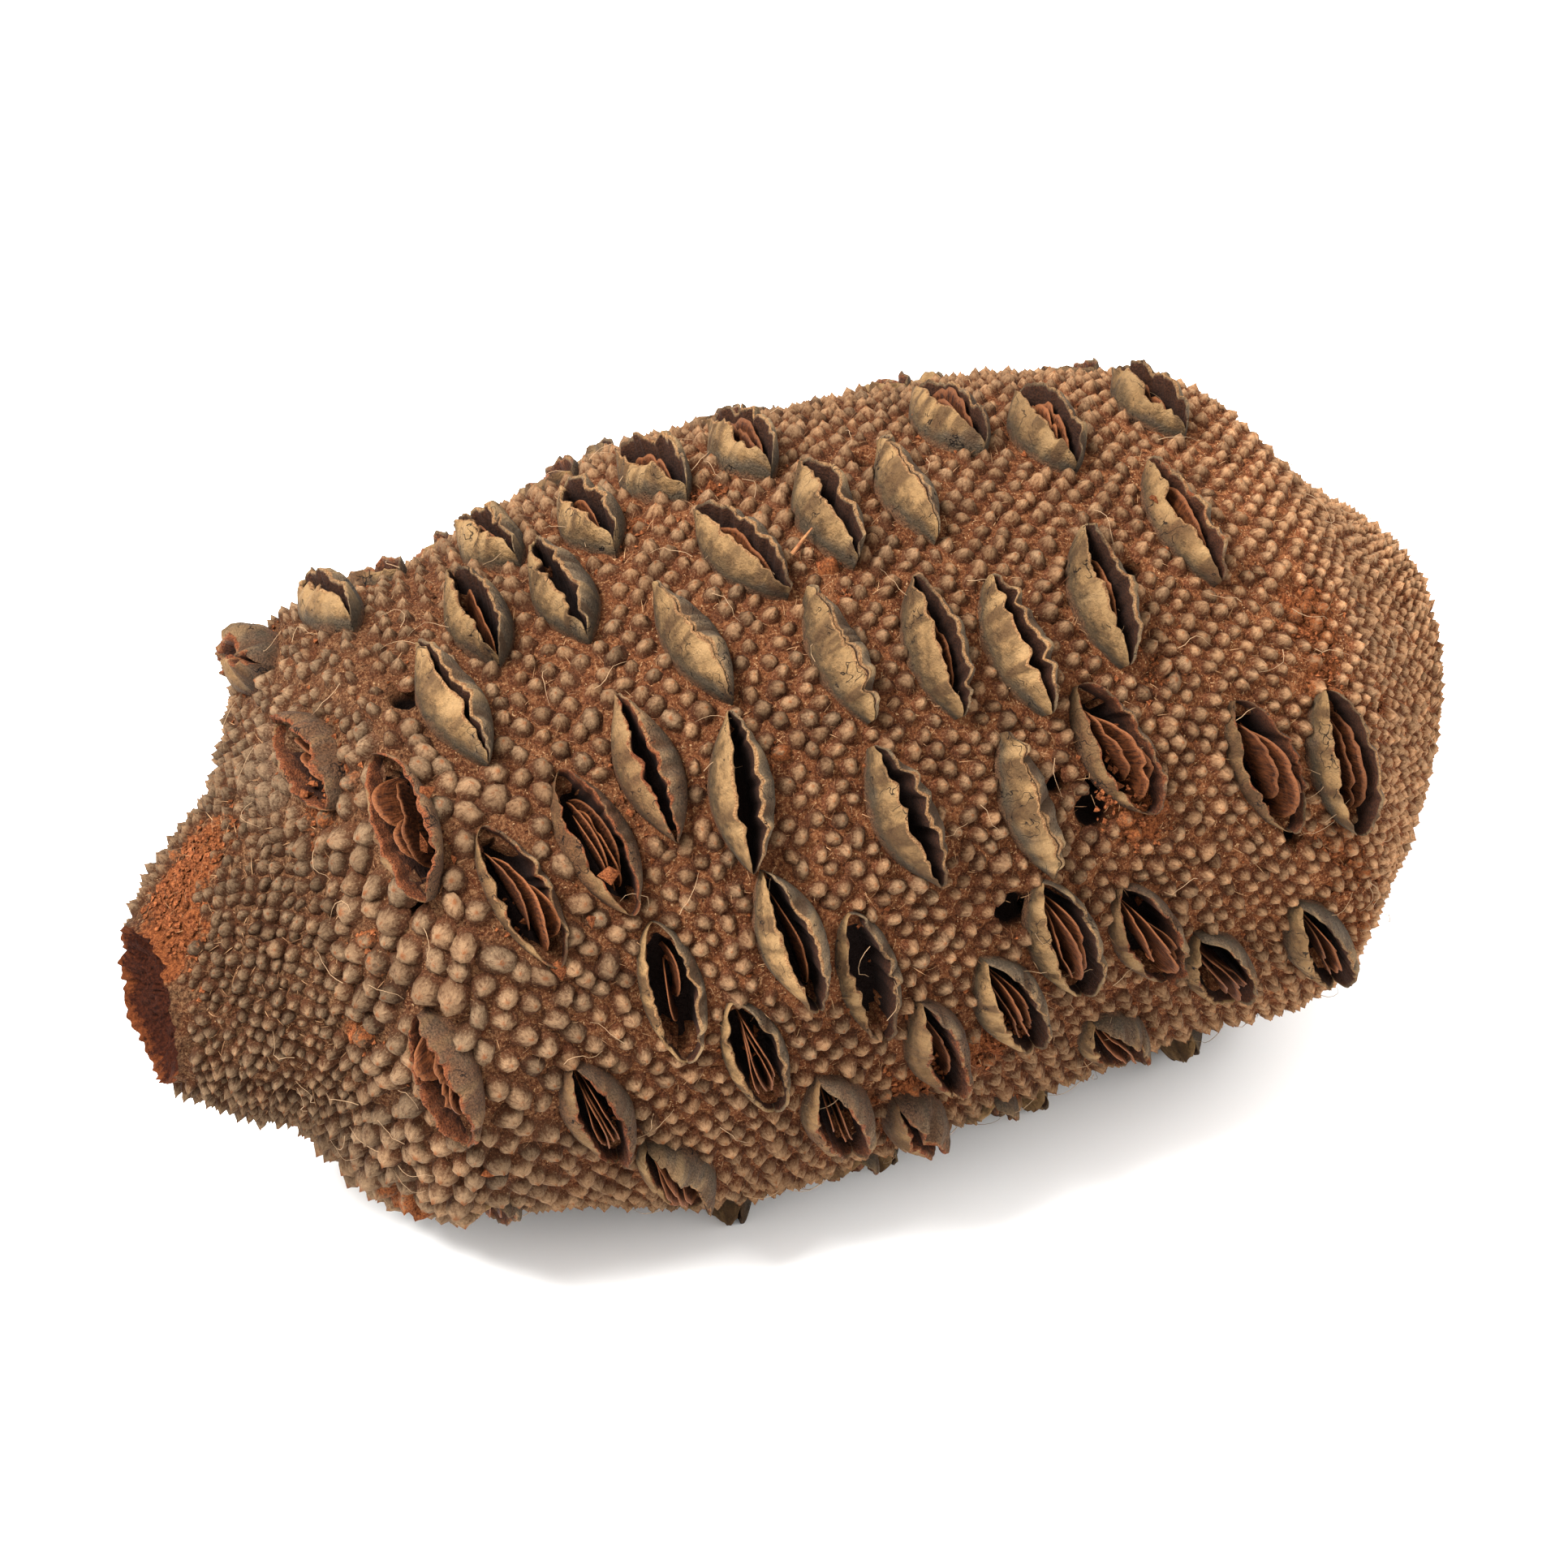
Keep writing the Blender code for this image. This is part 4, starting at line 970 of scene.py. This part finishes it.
# Each plate: how far aside it stands in a gap of one, height of its top, share of the slit's
# length, how far along the slit it sits, and how far it bows aside, in mm.
PLATES = {
    ONE: ((0.15, 2.8, 0.95, 0.0, 0.2),),
    PAIR: ((-0.25, 3.2, 0.95, 0.2, 0.5), (0.38, 3.9, 1.0, -0.2, 0.4)),
    BLADES: ((-0.50, 3.2, 0.95, 0.3, 0.2), (-0.05, 4.2, 1.05, 0.0, 0.5), (0.45, 3.5, 0.95, -0.3, 0.6)),
    CURL: ((-0.5, 3.8, 0.80, -1.4, 1.5), (0.05, 4.6, 0.95, 0.8, 1.9), (0.6, 3.4, 0.6, 2.2, 0.8)),
    BROKEN: ((-0.5, 3.4, 0.5, -3.2, 0.2), (-0.1, 2.8, 0.42, 1.8, 0.3), (0.35, 3.3, 0.8, 0.0, 0.4)),
    THIN: ((-0.6, 2.6, 0.7, 0.8, 0.2), (-0.25, 3.4, 0.85, 0.0, 0.1), (0.15, 3.0, 0.75, 0.6, 0.2),
           (0.5, 3.2, 0.8, -0.5, 0.1)),
    STUBS: ((-0.3, 0.6, 0.6, 1.0, 0.3), (0.4, 1.0, 0.5, -2.0, 0.2)),
}
PLATE_ROOTS = {SLIT: -2.4, AJAR: -3.0, GAPE: -4.0, WORN: -4.6}

plate = Finish("seed_separator_wood", 0.1)
run, up, shade = plate.mark("run"), plate.mark("up"), plate.mark("shade")
lines_at = plate.node("ShaderNodeCombineXYZ", {}, {0: run * 2.6, 1: up * 0.5, 2: shade * 20.0})
rings_at = plate.node("ShaderNodeCombineXYZ", {}, {0: up * 1.6, 1: run * 0.15, 2: shade * 20.0})
ribs, rings = plate.noise(lines_at, 1.0), plate.noise(rings_at, 1.0)
grain = plate.cloud(0.4, 3.0)
edge = (plate.mark("edge") + (grain - 0.5) * 0.6).between(0.6, 0.9)
plate_colour = plate.coats(
    plate.mix(ribs.between(0.35, 0.65), (60, 33, 20), (122, 73, 44)),
    (rings.between(0.55, 0.7) * 0.5, (150, 92, 56)),
    (grain.between(0.42, 0.3) * 0.6, (40, 24, 17)),
    (edge * 0.8, (156, 102, 66)))
plate_material = plate.apply(plate.tone(plate_colour, shade), 0.62, ribs + rings * 0.4 + grain * 0.4, 0.3)


def plate_sheet(follicle, form, root, draw):
    """Both faces of one curved plate, as a sheet that is closed round its thickness."""
    aside, top, length_share, shift, bow = form
    half_gap = follicle.gap / 2
    t = np.linspace(-1, 1, PLATE_STATIONS)[:, None]
    girth = np.sqrt(1 - np.clip(abs(t), 0, 0.985) ** PLATE_ROUND)
    levels = np.linspace(0, 1, PLATE_LEVELS)[None]
    lengthwise = shift + PLATE_HALF_LENGTH * length_share * t * (ROOT_SHARE + ROOT_GROWS * levels)
    own = follicle.number * 9.3 + aside * 5
    ragged = np.clip(wave_along(lengthwise[:, -1:], NOTCH_SIZE, own), 0, 1)
    ragged = ragged + SMALL_NOTCH * np.clip(wave_along(lengthwise[:, -1:], SMALL_NOTCH_SIZE, own), 0, 1)
    height = root + (top - root) * girth * (1 - NOTCH_DEPTH * ragged) * levels
    middle = aside * half_gap * (0.45 + 0.55 * levels) * girth
    room = np.clip(1 - (lengthwise / FOLLICLE_HALF_LENGTH) ** 2, 0, 1) ** 0.5 * half_gap
    middle = middle + bow * (0.5 - t * t) * levels * 0.6
    middle = middle + PLATE_WAVE * np.sin(lengthwise * PLATE_WAVE_PACE + draw.uniform(0, 6)) * levels
    middle = np.clip(middle, -room, room)
    half = PLATE_THICKNESS / 2 * (1 - PLATE_THINNED * levels)
    across = np.hstack((middle - half, (middle + half)[:, ::-1]))
    lengthwise = np.hstack((lengthwise, lengthwise[:, ::-1]))
    height = np.hstack((height, height[:, ::-1]))
    points = place(*follicle.spot(lengthwise, across), height)
    up = np.hstack((levels, levels[:, ::-1])) + 0 * across
    marks = {"run": lengthwise, "up": up * (top - root), "edge": up ** 5,
             "shade": draw.uniform(*PLATE_TONES) + 0 * across}
    return points, marks


plate_draw = np.random.default_rng(17)
around = 2 * PLATE_LEVELS
one_plate = sheet_faces(PLATE_STATIONS, around, closed=True).tolist()
one_plate.append(tuple(range(around)))
one_plate.append(tuple(range(around * PLATE_STATIONS - 1, around * (PLATE_STATIONS - 1) - 1, -1)))
separators = 0
for follicle in follicles:
    sheets = []
    for aside, top, *form in PLATES.get(follicle.plates, ()):
        form = (aside + plate_draw.uniform(*PLATE_STRAY), top * plate_draw.uniform(*PLATE_HEIGHTS), *form)
        points, marks = plate_sheet(follicle, form, PLATE_ROOTS[follicle.state], plate_draw)
        sheets.append((points, one_plate, marks))
    if not sheets:
        continue
    piece = add_sheets(f"separator_plates_{follicle.number + 1:02d}", sheets, plate_material)
    if follicle.state == GAPE:
        separators += 1
        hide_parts(f"separator_{separators:02d}")

# The stem end is where the cone broke off its branch: a ragged dish of dark red fibrous wood
# inside the rim of the neck.
DISH_RINGS = 18
DISH_DEPTH = 3.4
DISH_ROUGH = 0.8

pith = Finish("broken_stem_wood", 0.05)
fibre, lumps = pith.cloud(0.45, 5.0, 0.75), pith.cloud(2.0)
pith_colour = pith.mix(fibre.between(0.35, 0.66), (40, 17, 11), (98, 52, 34))
rim = (pith.mark("rim") + (lumps - 0.5) * 0.7 + (fibre - 0.5) * 0.6).between(0.76, 1.02)
pith_colour = pith.mix(rim, pith_colour, pith.mix(fibre, (96, 50, 28), (176, 104, 62)))
pith_material = pith.apply(pith_colour, 0.95, fibre + lumps * 0.5, 0.7)

dish_share = np.linspace(1, 0, DISH_RINGS)[:, None, None]
dish_rim = place(ground_along[0], ground_bearing[0], ground_height[0])
dish_middle = np.array((dish_rim[:, 0].mean(), 0.0, AXIS_HEIGHT + float(bend_at(0.0))))
dish_points = dish_middle + (dish_rim - dish_middle) * dish_share
hollow = DISH_DEPTH * (1 - dish_share ** 6) * (0.8 + 0.2 * uneven(dish_points, 5.0))[..., None]
rough = (uneven(dish_points, 1.1) + 0.7 * uneven(dish_points, 0.5, 1))[..., None]
hollow = hollow + DISH_ROUGH * (1 - dish_share ** 8) * rough
dish_points = dish_points + np.maximum(hollow, 0) * np.array((1.0, 0.0, 0.0))
add_piece("broken_stem_end", dish_points,
          sheet_faces(DISH_RINGS, GROUND_COLUMNS, closed=True).tolist(),
          {"rim": (dish_share[..., 0] ** 3 + 0 * dish_points[..., 0])}, pith_material)

# Crumbs of orange-brown wood lie where the ground is worn and round the torn follicles, with a
# few bigger chips. They are bits of the cone itself, stuck in its felt.
CRUMBS_AT_WORN, CRUMBS_AT_FOLLICLE, CRUMBS_ANYWHERE = 150, 16, 420
CRUMB_SIZES = (0.14, 0.5)
# How far crumbs spread over a worn place of half size one, where along and across a follicle
# they lie for a half length and half width of one, and how much bigger those inside are and
# smaller those that lie anywhere.
CRUMB_SPREAD = 0.62
CRUMBS_ALONG, CRUMBS_ACROSS = (-0.8, 0.8), (0.1, 1.25)
INSIDE_BIGGER, ANYWHERE_SMALLER = 1.6, 0.8
CRUMB_CORNERS, CRUMB_SKEW, CRUMB_TONES = (0.5, 1.4), (-0.3, 0.3), (0.6, 1.2)
# The bigger chips: axial distance, bearing, height and size in mm.
CHIPS = ((27, 44, 1.4, 1.3), (28.5, 36, 2.6, 1.0), (38.4, 70, 0.6, 1.2), (46, 56, 2.6, 1.3),
         (43, 63, 1.0, 1.2), (26, 84, 1.5, 1.0), (113, 66, 0.2, 0.9), (112, 96, 1.0, 0.9),
         (20, 17, 1.6, 0.9), (29.6, 114, 0.6, 1.2), (75.7, -0.5, 0.4, 0.9), (17.8, 84, 0.3, 0.9),
         (19.8, 60.5, 0.3, 0.8), (106, -6, 1.5, 1.1), (88, -12, 1.8, 1.0), (126, 24, 2.0, 0.8))

crumb = Finish("orange_crumbs", 0.05)
grain = crumb.cloud(0.3, 3.0)
crumb_colour = crumb.mix(grain.between(0.35, 0.65), (100, 52, 32), (186, 120, 80))
crumb_material = crumb.apply(crumb.tone(crumb_colour, crumb.mark("shade")), 0.95, grain, 0.2)

crumb_spots = [(float(along_at(axial)), bearing, height, size) for axial, bearing, height, size in CHIPS]
for axial, bearing, half_length, half_width, strength in WORN_PLACES:
    for _ in range(int(CRUMBS_AT_WORN * strength * half_length * half_width / 20)):
        forward, aside = draw.normal(0, CRUMB_SPREAD, 2)
        at = float(along_at(axial)) + forward * half_length
        crumb_spots.append((at, bearing + float(turned_by(aside * half_width, at)), 0.0,
                            draw.uniform(*CRUMB_SIZES)))
for follicle in follicles:
    for _ in range(int(CRUMBS_AT_FOLLICLE * follicle.crust)):
        aside = HALF_WIDTHS[follicle.state] * draw.choice((-1, 1)) * draw.uniform(*CRUMBS_ACROSS)
        at, bearing = follicle.spot(FOLLICLE_HALF_LENGTH * draw.uniform(*CRUMBS_ALONG), aside)
        inside = abs(aside) < follicle.gap / 2
        lying = FLOOR_LEVELS[follicle.state] * 0.8 - GROUND_LEVEL if inside else 0.0
        crumb_spots.append((at, float(bearing), lying,
                            draw.uniform(*CRUMB_SIZES) * (INSIDE_BIGGER if inside else 1.0)))
for _ in range(CRUMBS_ANYWHERE):
    crumb_spots.append((draw.uniform(20, SKIN_END - 20), draw.uniform(0, 360), 0.0,
                        draw.uniform(*CRUMB_SIZES) * ANYWHERE_SMALLER))
spots = np.array([spot for spot in crumb_spots if spot[0] > RIM_CLEAR])
count = len(spots)
corners = np.array(((1, 0, 0), (-1, 0, 0), (0, 1, 0), (0, -1, 0), (0, 0, 1), (0, 0, -1)), dtype=float)
radius = spots[:, 3, None, None] * draw.uniform(*CRUMB_CORNERS, (count, 6, 1))
shape = corners * radius + draw.uniform(*CRUMB_SKEW, (count, 6, 3)) * spots[:, 3, None, None]
crumb_points = place(spots[:, :1] + shape[..., 0],
                     spots[:, 1:2] + turned_by(shape[..., 1], spots[:, :1]),
                     GROUND_LEVEL + 0.2 + spots[:, 2:3] + shape[..., 2])
one_crumb = ((0, 2, 4), (2, 1, 4), (1, 3, 4), (3, 0, 4), (2, 0, 5), (1, 2, 5), (3, 1, 5), (0, 3, 5))
add_piece("orange_crumbs", crumb_points,
          copied(one_crumb, count, len(corners)),
          {"shade": np.repeat(draw.uniform(*CRUMB_TONES, count), len(corners))}, crumb_material,
          smooth=False)

# Felt fibres stand up between the knobs: thin, curved, pale or reddish hairs of the dead flowers
# that once covered the cone, rooted in the ground.
FIBRES = 18000
FIBRE_LENGTH = (0.7, 2.3)
FIBRE_WIDTH = 0.085
# How steeply they rise, and how far they reach sideways, both for a length of one.
FIBRE_RISE, FIBRE_SPREAD = (0.15, 0.75), 0.7

hair = Finish("felt_fibres", 0.1)
hair_colour = hair.mix(hair.mark("pale"), (104, 60, 38), (216, 180, 142))
hair_material = hair.apply(hair_colour, 0.95)

fibre_along = np.interp(draw.uniform(0, knobs_up_to[-1], FIBRES), knobs_up_to, fine_along)
fibre_bearing = draw.uniform(0, 360, FIBRES)
clear = fibre_along > RIM_CLEAR + FIBRE_LENGTH[1]
for follicle in follicles:
    clear &= ~follicle.covers(fibre_along, fibre_bearing, -0.2)
fibre_along, fibre_bearing = fibre_along[clear], fibre_bearing[clear]
count = len(fibre_along)
length = draw.uniform(*FIBRE_LENGTH, count)
heading = draw.uniform(0, 2 * math.pi, count)
steep = draw.uniform(*FIBRE_RISE, count)
# Two points at the root, two in the middle and one at the tip.
reach = length[:, None] * np.array((0, 0, 0.45, 0.45, 1))
lift = length[:, None] * np.array((0, 0, 0.6, 0.6, 1)) * steep[:, None]
side = FIBRE_WIDTH / 2 * np.array((-1, 1, -0.8, 0.8, 0))
forward = reach * np.cos(heading)[:, None] * FIBRE_SPREAD - side * np.sin(heading)[:, None]
aside = reach * np.sin(heading)[:, None] * FIBRE_SPREAD + side * np.cos(heading)[:, None]
fibre_points = place(fibre_along[:, None] + forward,
                     fibre_bearing[:, None] + turned_by(aside, fibre_along[:, None]),
                     GROUND_LEVEL + lift)
one_fibre = ((0, 1, 3, 2), (2, 3, 4))
add_piece("felt_fibres", fibre_points,
          copied(one_fibre, count, side.size),
          {"pale": np.repeat(draw.uniform(0, 1, count) ** 1.5, side.size)}, hair_material)

# Dry strands lie caught on the felt: one bit of straw near the top, and long fine hairs.
# Points of the straw: axial distance, bearing and height.
STRAW = ((79.0, 18.6, 0.4), (79.9, 18.0, 0.7), (80.8, 17.2, 0.9), (81.7, 16.6, 1.2), (82.4, 16.2, 1.6))
STRAW_THICKNESS, LONG_HAIR_THICKNESS = 0.34, 0.055
LONG_HAIRS, LONG_HAIR_STEP, LONG_HAIR_STEPS = 170, 0.9, 7
# How sharply a hair turns at each step, how high it arches in mm, the bearings where hairs lie,
# and how far they keep from the stem end and the tip.
HAIR_TURN, HAIR_FOOT, HAIR_ARCH, HAIR_STRAY = 0.45, 0.2, 0.9, (-0.2, 0.5)
HAIR_BEARINGS, HAIRS_FROM_STEM, HAIRS_FROM_TIP = (-70, 150), 15, 25


def strand_rings(path, thickness):
    """Three-sided rings of points round a path in space, thinner towards its end."""
    onward = np.gradient(path, axis=0)
    onward = onward / np.linalg.norm(onward, axis=-1, keepdims=True)
    aside = np.cross(onward, (0.3, 0.2, 0.93))
    aside = aside / np.linalg.norm(aside, axis=-1, keepdims=True)
    above = np.cross(aside, onward)
    turns = np.arange(3) * 2 * math.pi / 3
    taper = np.linspace(1, 0.35, len(path))[:, None, None]
    round_it = np.cos(turns)[:, None] * aside[:, None] + np.sin(turns)[:, None] * above[:, None]
    return path[:, None] + thickness * taper * round_it


straw = Finish("dry_straw", 0.2)
straw_tone = straw.cloud(1.2)
straw_colour = straw.mix(straw_tone.between(0.35, 0.65), (150, 92, 56), (206, 158, 108))
straw_colour = straw.mix(straw.mark("pale"), straw_colour, (206, 178, 146))
straw_material = straw.apply(straw_colour, 0.7, straw_tone, 0.1)

axial, bearing, height = np.array(STRAW).T
bends = np.linspace(0, len(STRAW) - 1, 19)
along, bearing, height = (np.interp(bends, range(len(STRAW)), values)
                          for values in (along_at(axial), bearing, height))
strands = [strand_rings(place(along, bearing, height), STRAW_THICKNESS)]
for _ in range(LONG_HAIRS):
    along, bearing = np.array((draw.uniform(HAIRS_FROM_STEM, SKIN_END - HAIRS_FROM_TIP),
                               draw.uniform(*HAIR_BEARINGS)))
    turn = np.cumsum(draw.normal(0, HAIR_TURN, LONG_HAIR_STEPS)) + draw.uniform(0, 2 * math.pi)
    along = along + np.cumsum(np.cos(turn)) * LONG_HAIR_STEP
    bearing = bearing + np.cumsum(turned_by(np.sin(turn) * LONG_HAIR_STEP, along))
    height = HAIR_FOOT + HAIR_ARCH * np.sin(np.linspace(0.1, 3.0, LONG_HAIR_STEPS))
    height = height + draw.uniform(*HAIR_STRAY)
    strands.append(strand_rings(place(along, bearing, height), LONG_HAIR_THICKNESS))
add_sheets("dry_strands",
           [(strand, sheet_faces(len(strand), 3, closed=True).tolist(),
             {"pale": np.full(strand.size // 3, float(number > 0))})
            for number, strand in enumerate(strands)], straw_material)
